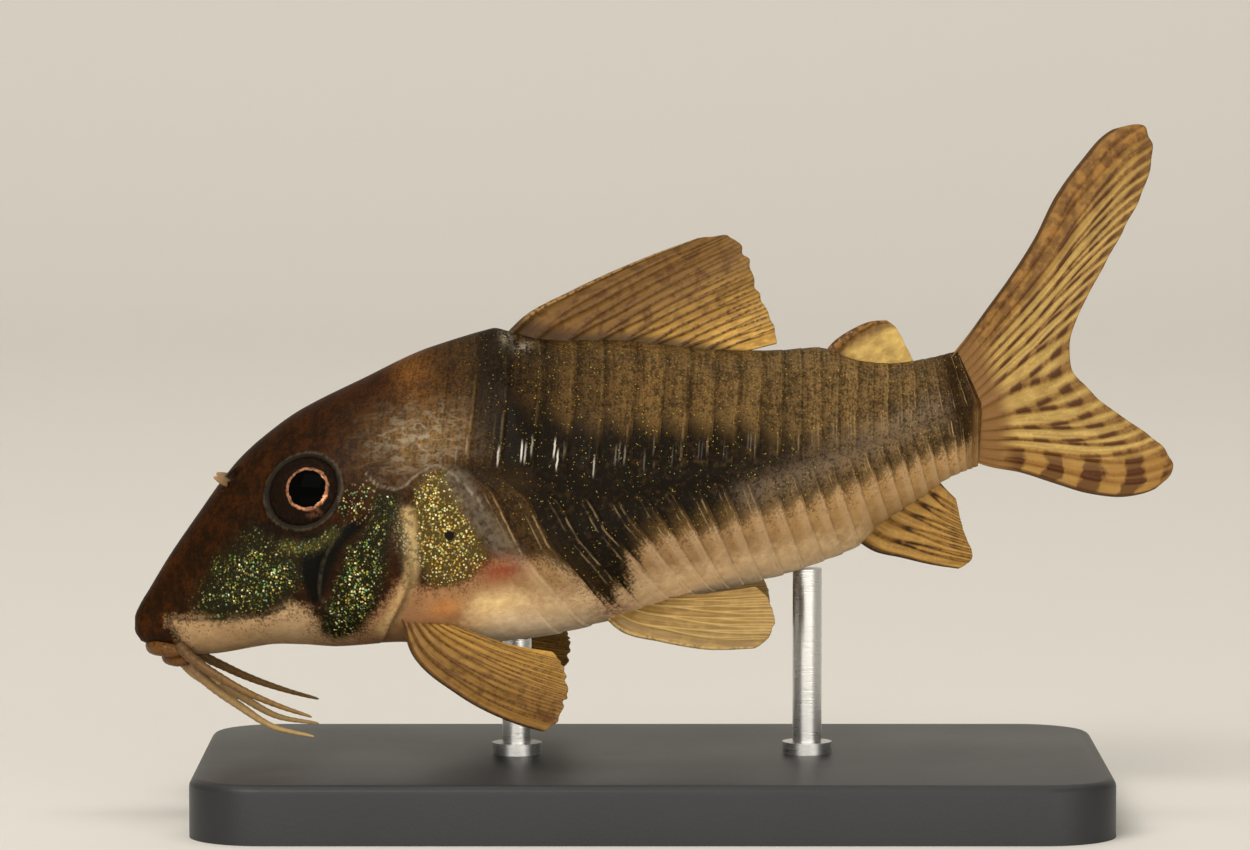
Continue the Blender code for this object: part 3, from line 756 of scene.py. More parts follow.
def meshed(name: str, bm: bmesh.types.BMesh) -> bpy.types.Mesh:
    """Returns a shape as a new mesh, and frees the shape.

    Args:
        name: The mesh's name.
        bm: The shape.

    Returns:
        The mesh.
    """
    mesh = bpy.data.meshes.new(name)
    bm.to_mesh(mesh)
    bm.free()
    return mesh


@dataclass
class Wrap:
    """A closed surface made by wrapping a grid, whose seams and poles are then closed.

    Attributes:
        name: The piece's name.
        around: The places across the grid.
        along: The places along the grid.
        shape: Gives the points for arrays of places across and along.
        numbers: Numbers for the mesh to carry, each given by the points and both places.
        charts: Maps for the mesh to carry, each giving two coordinates from both places.
    """

    name: str
    around: Array
    along: Array
    shape: Callable[[Array, Array], Array]
    numbers: dict[str, Number] = field(default_factory=dict)
    charts: dict[str, Chart] = field(default_factory=dict)

    def grid(self) -> bpy.types.Mesh:
        """Returns a flat grid as a mesh, as wide as it is long.

        Returns:
            The mesh.
        """
        bm = bmesh.new()
        bmesh.ops.create_grid(
            bm, x_segments=len(self.around) - 1, y_segments=len(self.along) - 1, size=1.0
        )
        return meshed(self.name, bm)

    def build(self, material: Material, slot: str) -> Piece:
        """Makes the piece, dresses it and lets it ride on the fish.

        Args:
            material: The piece's finish.
            slot: The record's slot that the finish stands for; not used.

        Returns:
            The new object.
        """
        mesh = self.grid()
        flat = np.empty(len(mesh.vertices) * 3)
        mesh.vertices.foreach_get("co", flat)
        column = np.rint((flat[0::3] + 1) / 2 * (len(self.around) - 1)).astype(int)
        line = np.rint((flat[1::3] + 1) / 2 * (len(self.along) - 1)).astype(int)
        across, along = self.around[column], self.along[line]
        points = self.shape(across, along)
        mesh.vertices.foreach_set("co", POSE.place(points).ravel())
        for name, number in self.numbers.items():
            layer = mesh.attributes.new(name, "FLOAT", "POINT")
            values = np.ascontiguousarray(number(points, across, along), np.float32)
            layer.data.foreach_set("value", values)
        corners = np.empty(len(mesh.loops), int)
        mesh.loops.foreach_get("vertex_index", corners)
        for name, chart in self.charts.items():
            layer = mesh.uv_layers.new(name=name)
            pairs = np.stack(chart(across[corners], along[corners]), axis=-1)
            layer.data.foreach_set("uv", pairs.astype(np.float32).ravel())
        return finished(self.name, mesh, material)


def finished(name: str, mesh: bpy.types.Mesh, material: Material) -> Piece:
    """Closes a mesh's seams, turns its faces outward and makes it a piece that rides on the fish.

    Args:
        name: The piece's name.
        mesh: Its mesh, in place.
        material: Its finish.

    Returns:
        The new object.
    """
    bm = bmesh.new()
    bm.from_mesh(mesh)
    bmesh.ops.remove_doubles(bm, verts=bm.verts, dist=WELD)
    bmesh.ops.dissolve_degenerate(bm, edges=bm.edges, dist=SLIVER)
    bmesh.ops.recalc_face_normals(bm, faces=bm.faces)
    bm.to_mesh(mesh)
    bm.free()
    mesh.materials.append(material)
    mesh.shade_smooth()
    piece = linked(name, mesh)
    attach(piece, BODY)
    return piece


def crowded(
    low: float, high: float, count: int, places: Sequence[float], width: float, gain: float
) -> Array:
    """Returns places between two ends that crowd together near some of them.

    Args:
        low: The first place.
        high: The last place.
        count: How many places there are.
        places: Where they crowd.
        width: How far the crowding reaches.
        gain: How many times as dense it gets.

    Returns:
        The places in rising order.
    """
    fine = np.linspace(low, high, SAMPLES)
    density = np.ones_like(fine)
    for place in places:
        density += gain * np.exp(-(((fine - place) / width) ** 2))
    run = np.concatenate(([0.0], np.cumsum(density[1:] + density[:-1])))
    return np.interp(np.linspace(0.0, run[-1], count), run, fine)


# Skin


@dataclass(frozen=True)
class Markings:
    """Where the fish's markings lie, as the side view shows them."""

    cheek: Outline = Outline([
        (4.2, 0.4), (5.0, 1.6), (6.6, 3.1), (8.0, 3.8), (9.4, 4.6), (10.2, 3.7), (11.8, 1.9),
        (12.0, 0.8), (11.2, -0.5), (9.9, -1.2), (8.3, -1.4), (5.6, -1.1), (4.1, -0.1),
    ])
    opercle: Outline = Outline([
        (18.3, 4.8), (19.8, 4.3), (19.5, 3.6), (18.3, 1.6), (17.4, -0.9), (16.4, -2.5),
        (14.4, -4.3), (13.0, -4.4), (12.2, -3.5), (12.5, -2.3), (13.7, -1.2), (14.4, 0.0),
        (15.5, 1.6), (16.8, 2.3), (17.7, 3.2),
    ])
    bar: Outline = Outline([
        (12.5, 3.1), (16.3, 3.2), (17.4, 3.4), (16.4, 2.4), (15.2, 1.9), (13.9, 0.3),
        (13.0, -1.2), (12.0, -1.9), (11.8, 0.5),
    ])
    cleithrum: Outline = Outline([
        (20.6, 4.0), (21.6, 5.0), (23.2, 5.1), (23.5, 3.1), (24.0, 0.9), (24.6, -1.5),
        (23.1, -2.5), (21.3, -2.7), (20.2, -2.3), (20.0, -0.1), (20.2, 2.2),
    ])
    saddle: Outline = Outline([
        (27.2, 15.0), (33.4, 15.0), (32.4, 9.0), (30.0, 3.8), (26.0, 4.3), (26.4, 9.0),
    ])
    band: Outline = Outline([
        (28.2, 3.0), (28.3, 0.0), (29.4, -1.8), (30.6, -3.8), (31.9, -6.0), (33.2, -5.6),
        (34.2, -3.6), (35.2, -1.9), (38.6, -2.0), (41.9, -2.0), (45.5, -1.4), (49.0, -0.9),
        (52.5, -0.4), (49.3, 0.6), (46.2, 1.6), (43.2, 2.9), (38.4, 4.1), (33.7, 5.5), (30.6, 6.8),
        (28.2, 8.6), (27.4, 5.5),
    ])
    pale: Outline = Outline([
        (-2.0, -3.4), (2.7, -3.4), (2.5, -1.4), (2.3, -0.2), (4.9, -0.6), (8.4, -1.5), (10.5, -1.1),
        (11.8, -1.7), (12.4, -3.8), (15.0, -4.2), (16.9, -2.7), (18.2, -1.6), (19.7, -2.4),
        (22.9, -2.6), (25.2, -1.6), (28.2, -2.5), (29.7, -4.0), (30.9, -5.6), (32.2, -6.4),
        (33.5, -5.0), (34.1, -3.7), (36.0, -3.1), (38.3, -3.2), (40.3, -3.4), (43.0, -3.1),
        (45.7, -3.2), (48.5, -3.1), (51.9, -2.7), (55.4, -2.2), (58.8, -2.0), (62.0, -12.0),
        (-2.0, -12.0),
    ])
    belly_edge: Outline = Outline([
        (21.4, -6.2), (22.4, -4.6), (24.6, -4.0), (28.4, -5.2), (32.8, -5.8), (37.2, -5.6),
        (50.0, -6.0), (50.0, -12.0), (21.0, -12.0),
    ])
    stem_end: Outline = Outline([
        (57.6, 6.0), (60.6, 6.0), (59.9, 3.0), (60.1, 0.5), (59.4, -2.3), (58.0, -2.6),
        (57.3, -0.5), (57.7, 2.0),
    ])
    cover_edge: Stroke = Stroke([
        (19.95, 2.9), (19.85, 1.6), (19.6, 0.4), (19.1, -1.3), (17.9, -2.9), (16.3, -4.5),
    ], 0.5)
    rim: Stroke = Stroke([
        (15.7, 3.25), (14.2, 1.9), (13.1, 0.2), (12.75, -1.2), (13.05, -2.4), (14.1, -3.2),
    ], 0.16)
    bone_line: Stroke = Stroke([
        (17.9, 6.2), (18.4, 5.3), (20.0, 4.7), (21.1, 5.2), (22.8, 5.5), (23.3, 5.0),
        (24.3, 3.6), (25.2, 1.8),
    ], 0.11)
    grey_band: Stroke = Stroke([(23.7, 4.3), (24.7, 1.5), (25.6, -0.8), (26.3, -2.1)], 0.95)
    crescent: Stroke = Stroke([(11.2, 2.75), (12.2, 2.35), (13.6, 2.35), (14.7, 2.8)], 0.36)
    rear_flecks: Stroke = Stroke([(16.0, 4.8), (16.4, 4.1), (17.2, 3.9), (17.4, 5.0)], 0.6)
    jaw: Stroke = Stroke([(2.4, -0.2), (4.4, -0.8), (6.4, -1.2), (8.6, -1.5), (10.2, -1.4)], 0.2)
    fold: Stroke = Stroke([(2.2, -0.3), (2.5, -1.4), (2.85, -2.6)], 0.26)
    tail_edge: Stroke = Stroke([(59.9, -0.6), (59.5, -1.6), (59.0, -2.8), (58.6, -3.9)], 0.8)
    rear_grey: Stroke = Stroke([(43.0, -1.8), (50.0, -0.6), (56.6, 0.7)], 1.1)
    blush: Spot = Spot(25.2, -2.6, 1.5, 0.9)
    amber: Spot = Spot(20.9, -4.1, 1.1, 0.6)
    cream: Spot = Spot(24.2, -4.6, 1.7, 0.8)
    pink: Spot = Spot(32.0, -7.0, 1.4, 0.7)
    lock: Spot = Spot(29.5, 12.9, 0.38, 0.5)
    lock_rear: Spot = Spot(30.4, 12.0, 0.6, 0.3)
    chin_blotch: Spot = Spot(10.4, -1.9, 1.2, 0.5)
    shadow: Spot = Spot(10.6, 3.4, 4.2, 2.4)
    gleam: Spot = Spot(19.4, 1.0, 0.6, 1.7)
    nape: Spot = Spot(22.6, 12.4, 1.4, 2.6)
    cheek_heart: Spot = Spot(9.7, 1.0, 2.3, 1.5)
    cover_heart: Spot = Spot(14.8, -0.6, 1.4, 2.8)
    ocellus: Spot = Spot(22.36, 0.66, 0.42, 0.4)
    above_gill: Spot = Spot(21.9, 7.6, 3.1, 2.1)

    def relief(self, x: Array, z: Array) -> Array:
        """Returns how far the markings' edges stand out of the skin or lie in it.

        Args:
            x: Places along the fish.
            z: Places up the fish.

        Returns:
            The height at each place.
        """
        cheek = 0.1 * smoothstep((self.cheek.depth(x, z) + 0.4) / 1.2)
        folds = 0.16 * self.jaw.strength(x, z) + 0.14 * self.fold.strength(x, z)
        shoulder = 0.12 * smoothstep((self.cleithrum.depth(x, z) + 0.3) / 0.8)
        bone = 0.08 * self.bone_line.strength(x, z) + 0.12 * self.rim.strength(x, z)
        return cheek + shoulder + bone - folds

    def numbers(self) -> dict[str, Number]:
        """Returns the numbers that the skin carries for its finish.

        Returns:
            Each number by its name.
        """

        def seen(measure: Callable[[Array, Array], Array]) -> Number:
            """Returns a measure of the side view as a number of the wrapped points."""
            return lambda points, _across, _along: measure(*POSE.seen(points))

        marks = [(item.name, getattr(self, item.name)) for item in fields(self)]
        return {
            **{name: seen(mark.depth) for name, mark in marks if isinstance(mark, Outline)},
            **{name: seen(mark.strength) for name, mark in marks if isinstance(mark, Stroke)},
            "seen_x": seen(lambda x, _z: x),
            "seen_z": seen(lambda _x, z: z),
        }


class SkinShader(Shader):
    """The skin's shader, with the noises and the measures that its layers share."""

    def __init__(self, finish: "SkinFinish") -> None:
        """Makes what the layers of a finish share.

        Args:
            finish: The skin's finish.
        """
        super().__init__("catfish_skin")
        self.here = self.place()
        self.drift = self.noise(self.here, finish.drift_size, 3.0)
        self.grain = self.noise(self.here, finish.grain_size, 4.0)
        self.fine = self.noise(self.here, finish.fine_size, 3.0)
        self.along = self.attribute("along")
        self.count, self.row = self.chart("plates")
        self.share = self.count.rest()
        self.plate = self.random(self.count.whole())
        lengthwise = self.node("ShaderNodeCombineXYZ", None, {0: self.count, 1: self.row * 0.3})
        self.stria = self.noise(lengthwise, finish.stria_size, 2.0)
        self.wobble = (self.grain - 0.5) * 1.6 + (self.drift - 0.5) * 1.4
        self.mottle = self.grain * 0.24 + self.fine * 0.38 + self.drift * 0.18 + self.stria * 0.2

    def inside(self, name: str, soft: float) -> Signal:
        """Returns 1 inside an outline that the mesh carries, with a wavering edge."""
        return (self.attribute(name) + self.wobble * soft).step(-soft, soft)


@dataclass(frozen=True)
class SkinFinish:
    """Wet armoured skin: dark and finely flecked above, pinkish cream below."""

    snout: Colour = (0.038, 0.0122, 0.0019)
    crown: Colour = (0.031, 0.01, 0.0018)
    front: Colour = (0.044, 0.024, 0.0075)
    middle: Colour = (0.076, 0.046, 0.016)
    rear: Colour = (0.098, 0.063, 0.026)
    above_gill: Colour = (0.182, 0.112, 0.044)
    dark: Colour = (0.006, 0.004, 0.002)
    stem: Colour = (0.021, 0.01, 0.004)
    fin_root: Colour = (0.17, 0.075, 0.019)
    stem_edge: Colour = (0.16, 0.08, 0.026)
    chin: Colour = (0.37, 0.235, 0.115)
    pale_chin: Colour = (0.43, 0.29, 0.15)
    chin_blotch: Colour = (0.13, 0.048, 0.02)
    gill_skin: Colour = (0.29, 0.16, 0.075)
    throat: Colour = (0.3, 0.15, 0.064)
    lower: Colour = (0.27, 0.158, 0.068)
    rear_lower: Colour = (0.355, 0.208, 0.08)
    end_lower: Colour = (0.41, 0.24, 0.092)
    belly: Colour = (0.72, 0.5, 0.27)
    # partly the belly's own pale colour, partly painted light that lifts the shaded underside
    bottom: Colour = (0.9, 0.7, 0.46)
    nape: Colour = (0.187, 0.078, 0.017)
    bone: Colour = (0.3, 0.25, 0.18)
    pale_edge: Colour = (0.49, 0.33, 0.14)
    rim: Colour = (0.055, 0.042, 0.024)
    grey: Colour = (0.15, 0.12, 0.084)
    rear_grey: Colour = (0.19, 0.135, 0.09)
    blush: Colour = (0.2, 0.028, 0.012)
    amber: Colour = (0.5, 0.19, 0.042)
    cream: Colour = (0.74, 0.54, 0.23)
    pale_line: Colour = (0.62, 0.44, 0.26)
    line: Colour = (0.42, 0.29, 0.145)
    freckle: Colour = (0.08, 0.038, 0.016)
    # painted highlight: the bright glints on the plates above the lateral line
    streak: Colour = (0.6, 0.56, 0.48)
    fleck_green: Colour = (0.17, 0.33, 0.045)
    fleck_gold: Colour = (0.56, 0.38, 0.05)
    fleck_orange: Colour = (0.42, 0.16, 0.02)
    fleck_teal: Colour = (0.24, 0.6, 0.38)
    fleck_pale: Colour = (0.85, 0.8, 0.43)
    cheek_ground: Colour = (0.012, 0.01, 0.004)
    cover_ground: Colour = (0.009, 0.008, 0.003)
    shoulder_ground: Colour = (0.063, 0.036, 0.009)
    bar: Colour = (0.003, 0.0025, 0.0015)
    socket: Colour = (0.018, 0.014, 0.01)
    crest: Colour = (0.095, 0.075, 0.045)
    olive_tones: Tones = ((0.06, 0.052, 0.014), (0.2, 0.19, 0.04))
    dust_tones: tuple[Colour, ...] = ((0.02, 0.05, 0.02), (0.09, 0.11, 0.015), (0.28, 0.2, 0.04))
    plate_tones: Tones = ((0.8, 0.79, 0.77), (1.26, 1.2, 1.12))
    # painted shade: each plate darker at its front, where the plate before overlaps it
    overlap_tones: Tones = ((0.78, 0.77, 0.76), (1.05, 1.05, 1.05))
    dim_tones: Tones = ((0.66, 0.64, 0.62), (0.42, 0.4, 0.38))
    lit_tones: Tones = ((1.36, 1.32, 1.24), (1.52, 1.47, 1.38))
    cloud_tones: Tones = ((0.9, 0.87, 0.86), (1.08, 1.09, 1.1))
    drift_size: float = 1.5 * MM
    grain_size: float = 0.4 * MM
    fine_size: float = 0.16 * MM
    bend_size: float = 0.16 * MM
    fleck_size: float = 0.185 * MM
    stria_size: float = 0.1
    relief_height: float = 0.045 * MM
    markings: Markings = Markings()

    def build(self) -> Material:
        """Returns the skin's material.

        Returns:
            The material.
        """
        skin = SkinShader(self)
        blotch = (skin.drift * 0.6 + skin.grain * 0.4).step(0.4, 0.6)
        head = skin.along.step(22.0, 15.0)
        shadow = self.markings.shadow.mask(skin)
        streaky = skin.wobble * 0.6 + (skin.stria - 0.5) * 2.0 + (0.5 - skin.share) * 1.1
        speckled = (skin.fine - 0.5) * 4.0 + (skin.grain - 0.5) * 2.0
        ragged = streaky * skin.along.step(26.0, 32.0) * 0.5 - skin.wobble * (head * 0.5 + 0.4)
        pale = (skin.attribute("pale") - ragged - speckled * 0.3).step(-0.5, 0.5)
        band = skin.attribute("band") + streaky + (skin.plate - 0.5) * 0.3 + speckled * 0.5
        band = band.step(-0.9, 0.9) * skin.along.step(60.0, 40.0)
        greyish = skin.attribute("rear_grey") * (0.48 - speckled.step(0.2, -0.6) * 0.36)
        stem_edge = skin.attribute("tail_edge").step(0.1, 0.8)
        colour = skin.lay(
            self.upper(skin),
            (head * (1 - blotch) * 0.55, self.dark),
            (shadow * (0.75 - blotch * 0.25), self.dark),
            (pale, self.under(skin)),
            (band * (0.99 - skin.grain.step(0.45, 0.75) * 0.25), self.dark),
            (greyish, self.rear_grey),
            ((skin.along + skin.wobble * 0.5).step(59.4, 60.1), self.fin_root),
            *self.plate_lines(skin, band, pale),
            (stem_edge * (0.8 - speckled.step(-0.3, 0.5) * 0.3), self.stem_edge),
        )
        colour, dot = self.glitter(skin, colour)
        surface = {
            "Base Color": skin.lay(colour, *self.head_lines(skin, dot)),
            "Roughness": skin.grain * 0.2 + 0.36,
            "Coat Weight": 0.01,
            "Coat Roughness": 0.15,
            "Specular IOR Level": 0.04,
        }
        relief = skin.fine * 0.35 + skin.grain * 0.45 + dot * 0.2
        return skin.finish(surface, relief, self.relief_height)

    def upper(self, skin: SkinShader) -> Signal:
        """Returns the colour of the head's top and the upper flank.

        Args:
            skin: The skin's shader.

        Returns:
            The colour.
        """
        marks = self.markings
        gill = marks.above_gill.mask(skin)
        ground = skin.ramp(skin.along * (1 / LENGTH), [
            (0.02, self.snout), (0.17, self.crown), (0.36, self.crown), (0.45, self.front),
            (0.62, self.middle), (0.85, self.rear),
        ])
        ground = skin.lay(
            ground, (gill * 0.9, self.above_gill), (marks.nape.mask(skin) * 0.6, self.nape)
        )
        contrast = skin.along.step(16.0, 30.0)
        tone = skin.plate * contrast
        grown = skin.share.step(0.0, 0.5) * contrast + (1 - contrast)
        speckle = skin.mottle.step(0.41, 0.59)
        dim, lit = (skin.mix(contrast, *tones) for tones in (self.dim_tones, self.lit_tones))
        colour = skin.times(ground, skin.mix(tone, *self.plate_tones))
        # painted shade at each plate's front, under the rear edge of the plate before
        colour = skin.times(colour, skin.mix(grown, *self.overlap_tones))
        colour = skin.times(colour, skin.mix(speckle, dim, lit))
        broken = skin.mottle.step(0.4, 0.56) * 0.7
        return skin.lay(
            colour,
            (self.ridges(skin) * gill, self.bone),
            (skin.inside("saddle", 1.2) * (0.95 - tone * 0.2 - speckle * 0.2), self.dark),
            (marks.lock.mask(skin) * broken, self.bone),
            (marks.lock_rear.mask(skin) * broken, self.bone),
            (skin.inside("stem_end", 0.8) * (0.9 - speckle * 0.2), self.stem),
        )

    def ridges(self, skin: SkinShader) -> Signal:
        """Returns the pale wavy ridges on the bones above the gill.

        Args:
            skin: The skin's shader.

        Returns:
            The ridges' mask.
        """
        flat = skin.vector("MULTIPLY", {0: skin.here, 1: (1.0, 1.0, 2.6)})
        wave = abs(skin.noise(flat, 1.8 * MM, 3.0) - 0.5)
        gaps = skin.noise(skin.here, 0.5 * MM, 2.0)
        return wave.step(0.08, 0.01) * gaps.step(0.32, 0.62) * 0.6

    def under(self, skin: SkinShader) -> Signal:
        """Returns the colour of the chin, the lower flank and the belly.

        Args:
            skin: The skin's shader.

        Returns:
            The colour.
        """
        marks = self.markings
        ground = skin.ramp(skin.along * (1 / LENGTH), [
            (0.03, self.chin), (0.13, self.chin), (0.18, self.pale_chin), (0.26, self.gill_skin),
            (0.34, self.throat), (0.44, self.lower), (0.64, self.lower), (0.82, self.rear_lower),
            (1.0, self.end_lower),
        ])
        colour = skin.lay(
            ground,
            (skin.inside("belly_edge", 0.9) * 0.8, self.belly),
            # paler along the bottom edge: partly the belly's own colour, partly painted light
            # lifting the shaded underside
            (skin.attribute("belly_edge").step(0.8, 1.9) * 0.55, self.bottom),
            (marks.amber.mask(skin) * 0.55, self.amber),
            (marks.cream.mask(skin) * 0.55, self.cream),
            (marks.pink.mask(skin) * skin.grain.step(0.3, 0.6) * 0.75, self.blush),
        )
        cloud = skin.noise(skin.here, 0.7 * MM, 4.0).step(0.32, 0.68)
        smudge = marks.chin_blotch.mask(skin) * (skin.grain * 0.6 + cloud * 0.4).step(0.48, 0.66)
        high = skin.attribute("pale").step(2.6, 0.1) * 0.16
        freckles = (skin.grain * 0.35 + skin.fine * 0.65 + high).step(0.63, 0.75)
        return skin.lay(
            skin.times(colour, skin.mix(cloud, *self.cloud_tones)),
            (smudge * 0.7, self.chin_blotch),
            (freckles * 0.55, self.freckle),
        )

    def plate_lines(self, skin: SkinShader, band: Signal, pale: Signal) -> Sequence[Layer]:
        """Returns the dark and the light lines along each plate's rear edge, and the painted
        highlight streaks.

        Args:
            skin: The skin's shader.
            band: 1 in the black band.
            pale: 1 on the pale underside.

        Returns:
            The layers that draw the lines.
        """
        flank = skin.count.step(-0.2, 0.2)
        middle = abs(skin.row)
        armour = flank * middle.step(0.03, 0.1)
        waver = skin.noise(skin.here, 0.9 * MM, 2.0)
        near = skin.share + (waver - 0.5) * 0.12
        below = skin.row.step(0.0, 0.05)
        beside = skin.row.step(-0.42, -0.16)
        broken = waver.step(0.36, 0.62) * skin.stria.step(0.36, 0.56)
        light = near.within(0.79, 0.83, 0.86, 0.9) * armour * broken
        second = near.within(0.56, 0.6, 0.62, 0.66) * armour * beside * broken
        dark = (near.step(0.89, 0.95) + near.step(0.08, 0.01)) * flank
        wide = near.within(0.3, 0.7, 0.9, 1.0) * armour
        stem = skin.attribute("stem_end").step(-0.8, 0.3) * 0.26
        rear = skin.along.step(42.0, 52.0) * 0.08
        groove = middle.step(0.05, 0.015) * flank * (skin.along.step(52.0, 36.0) * 0.7 + 0.3)
        return (
            (wide * pale * 0.22, self.pale_line),
            (light * (below * 0.22 + beside * 0.16 + pale * 0.2 + stem + rear + 0.06), self.line),
            (second * (below * 0.3 + 0.1 - band * 0.1), self.line),
            (dark * (waver.step(0.3, 0.7) * 0.3 + 0.14) * (1 - pale * 0.6), self.dark),
            # painted highlight streaks above the lateral line
            (self.streaks(skin), self.streak),
            (groove * 0.35, self.dark),
        )

    def streaks(self, skin: SkinShader) -> Signal:
        """Returns 1 on the painted highlights: bright paired streaks above the lateral line.

        Args:
            skin: The skin's shader.

        Returns:
            The painted highlights' mask.
        """
        near = skin.share + (skin.noise(skin.here, 0.5 * MM, 1.0) - 0.5) * 0.05
        chances = [skin.random(skin.count.whole() + offset) for offset in (0.0, 40.0, 80.0)]
        front = skin.count.step(0.2, 1.2) * (skin.count.step(6.5, 3.0) * 0.85 + 0.1)
        parts = []
        for middle, chance, shift in zip((0.5, 0.62, 0.8), chances, (*chances[1:], chances[0])):
            reach = (skin.row + shift * 0.1).within(-0.15, -0.1, -0.06, -0.02)
            parts.append(abs(near - middle).step(0.04, 0.012) * reach * chance.step(0.2, 0.9))
        return sum(parts) * front

    def glitter(self, skin: SkinShader, colour: Value) -> tuple[Signal, Signal]:
        """Lays the patches of glittering flecks over the head and the shoulder.

        Args:
            skin: The skin's shader.
            colour: The colour below.

        Returns:
            The colour with the flecks, and 1 on each fleck.
        """
        marks = self.markings
        teal, green, gold = self.fleck_teal, self.fleck_green, self.fleck_gold
        orange, white = self.fleck_orange, self.fleck_pale
        bend = skin.noise(skin.here, self.bend_size, 2.0, "Color")
        bend = skin.vector("SCALE", {0: bend, "Scale": self.bend_size})
        place = skin.vector("ADD", {0: skin.here, 1: bend})
        reach, hue, chance = skin.cells(place, self.fleck_size)
        small, small_hue, small_chance = skin.cells(place, self.fleck_size * 0.62)
        bright = skin.ramp(hue, [(0.0, teal), (0.3, green), (0.6, gold), (0.88, white)])
        golden = skin.ramp(hue, [(0.0, orange), (0.3, gold), (0.75, white), (1.0, green)])
        sparks = skin.ramp(small_hue, [(0.0, green), (0.5, gold), (1.0, orange)])
        dusty = skin.ramp(small_hue, list(zip((0.0, 0.5, 1.0), self.dust_tones)))
        dot = (reach + chance * 0.16).step(0.62, 0.34)
        dust = small.step(0.6, 0.34) * small_chance.step(0.3, 0.8)
        crowd = skin.noise(place, 1.0 * MM, 2.0)
        for name, ground, flecks, few, soft, heart in (
            ("cheek", self.cheek_ground, bright, 0.62, 0.7, marks.cheek_heart.mask(skin)),
            ("opercle", self.cover_ground, bright, 0.6, 0.45, marks.cover_heart.mask(skin)),
            ("cleithrum", self.shoulder_ground, golden, 0.43, 0.35, 0.0),
        ):
            edge = skin.attribute(name).step(1.4, -0.4)
            thick = chance * 0.42 + crowd * 0.58 + heart * 0.15 - edge * 0.12
            patch = skin.lay(
                ground,
                (dust * thick.step(few - 0.3, few) * 0.8, dusty),
                (dot * thick.step(few - 0.12, few + 0.1), flecks),
            )
            colour = skin.lay(colour, (skin.inside(name, soft), patch))
        spark = dot * chance.step(0.35, 0.65)
        olive = skin.mix(spark, skin.mix(dust, *self.olive_tones), bright)
        sparse = small.step(0.42, 0.26) * small_chance.step(0.935, 0.965)
        sparse = sparse * skin.along.step(24.0, 30.0) * skin.attribute("pale").step(0.0, -0.6)
        colour = skin.lay(
            colour,
            (skin.inside("bar", 0.3), self.bar),
            (skin.attribute("crescent") * 0.55, olive),
            (skin.attribute("rear_flecks") * spark, bright),
            (sparse * 0.7, sparks),
        )
        return colour, dot

    def head_lines(self, skin: SkinShader, dot: Signal) -> Sequence[Layer]:
        """Returns the head's lines, edges, blush, orbits and the painted shade in the gill slit as
        layers over the flecks' dots.

        Args:
            skin: The skin's shader.
            dot: The flecks' dots.

        Returns:
            The layers, the lowest first.
        """
        marks = self.markings
        dotted = skin.grain.step(0.42, 0.5)
        patchy = skin.grain.step(0.3, 0.62) * 0.75 + 0.25
        lines = [
            (skin.attribute(name).step(low, high) * patchy * most, tint)
            for name, low, high, most, tint in (
                ("jaw", 0.3, 0.95, 0.6, self.dark),
                ("fold", 0.2, 0.9, 0.7, self.dark),
                ("rim", 0.2, 0.9, 0.55, self.rim),
                ("grey_band", 0.1, 0.9, 0.6, self.grey),
                ("bone_line", 0.1, 0.9, 0.6, self.bone),
            )
        ]
        ring = skin.attribute("orbit")
        crest = ring.within(0.1, 0.35, 0.5, 0.9) * skin.grain.step(0.3, 0.6)
        return (
            *lines,
            (skin.attribute("cover_edge").step(0.05, 0.95) * (dotted * 0.4 + 0.35), self.pale_edge),
            (marks.gleam.mask(skin) * (dot * 0.35 + 0.05), self.fleck_pale),
            (marks.blush.mask(skin) * (dotted * 0.2 + 0.6), self.blush),
            (marks.ocellus.mask(skin).step(0.35, 0.62), self.dark),
            # painted shade in the slit behind the gill cover
            (skin.attribute("slit") * 0.55, self.dark),
            (ring.step(0.1, 0.6) * 0.9, self.socket),
            (crest * 0.4, self.crest),
        )


@dataclass
class Dent:
    """An oval dent in the skin with a raised rim.

    The rim's crest and width and the dent's brink and slope are shares of its half length and
    half height. It acts on the skin as far in and out as it is thick.
    """

    side: Side
    x: float
    z: float
    long: float
    high: float
    rim: float
    crest: float
    rim_width: float
    depth: float
    brink: float
    slope: float
    thick: float

    @cached_property
    def seat(self) -> Seat:
        """Returns the place and the directions of the dent's seat."""
        return TRUNK.seat(self.x, self.z, self.side)

    def reach(self, points: Array) -> Array:
        """Returns how far points lie from the middle, 1 at the dent's size, large elsewhere.

        Args:
            points: The points.

        Returns:
            One distance for each point.
        """
        place, along, up, out = self.seat
        away = points - place
        reach = np.hypot(away @ along / self.long, away @ up / self.high)
        return np.where(np.abs(away @ out) < self.thick, reach, 9.0)

    def press(self, points: Array) -> Array:
        """Returns points with the dent pressed into them and its rim raised.

        Args:
            points: The points.

        Returns:
            The moved points.
        """
        reach = self.reach(points)
        lift = self.rim * np.exp(-(((reach - self.crest) / self.rim_width) ** 2))
        lift -= self.depth * smoothstep((self.brink - reach) / self.slope)
        return points + lift[:, None] * self.seat[3]


def orbit(side: Side) -> Dent:
    """Returns the socket of one eye, with the ring of skin round it.

    Args:
        side: The eye's side.

    Returns:
        The socket.
    """
    return Dent(
        side, x=13.72, z=6.47, long=2.72, high=2.52, rim=0.24, crest=0.99, rim_width=0.085,
        depth=1.5, brink=0.95, slope=0.12, thick=3.0,
    )


def nostril(side: Side) -> Dent:
    """Returns one nostril.

    Args:
        side: The nostril's side.

    Returns:
        The nostril.
    """
    return Dent(
        side, x=9.2, z=8.35, long=0.5, high=0.42, rim=0.14, crest=1.3, rim_width=0.35,
        depth=0.5, brink=1.05, slope=0.5, thick=1.5,
    )


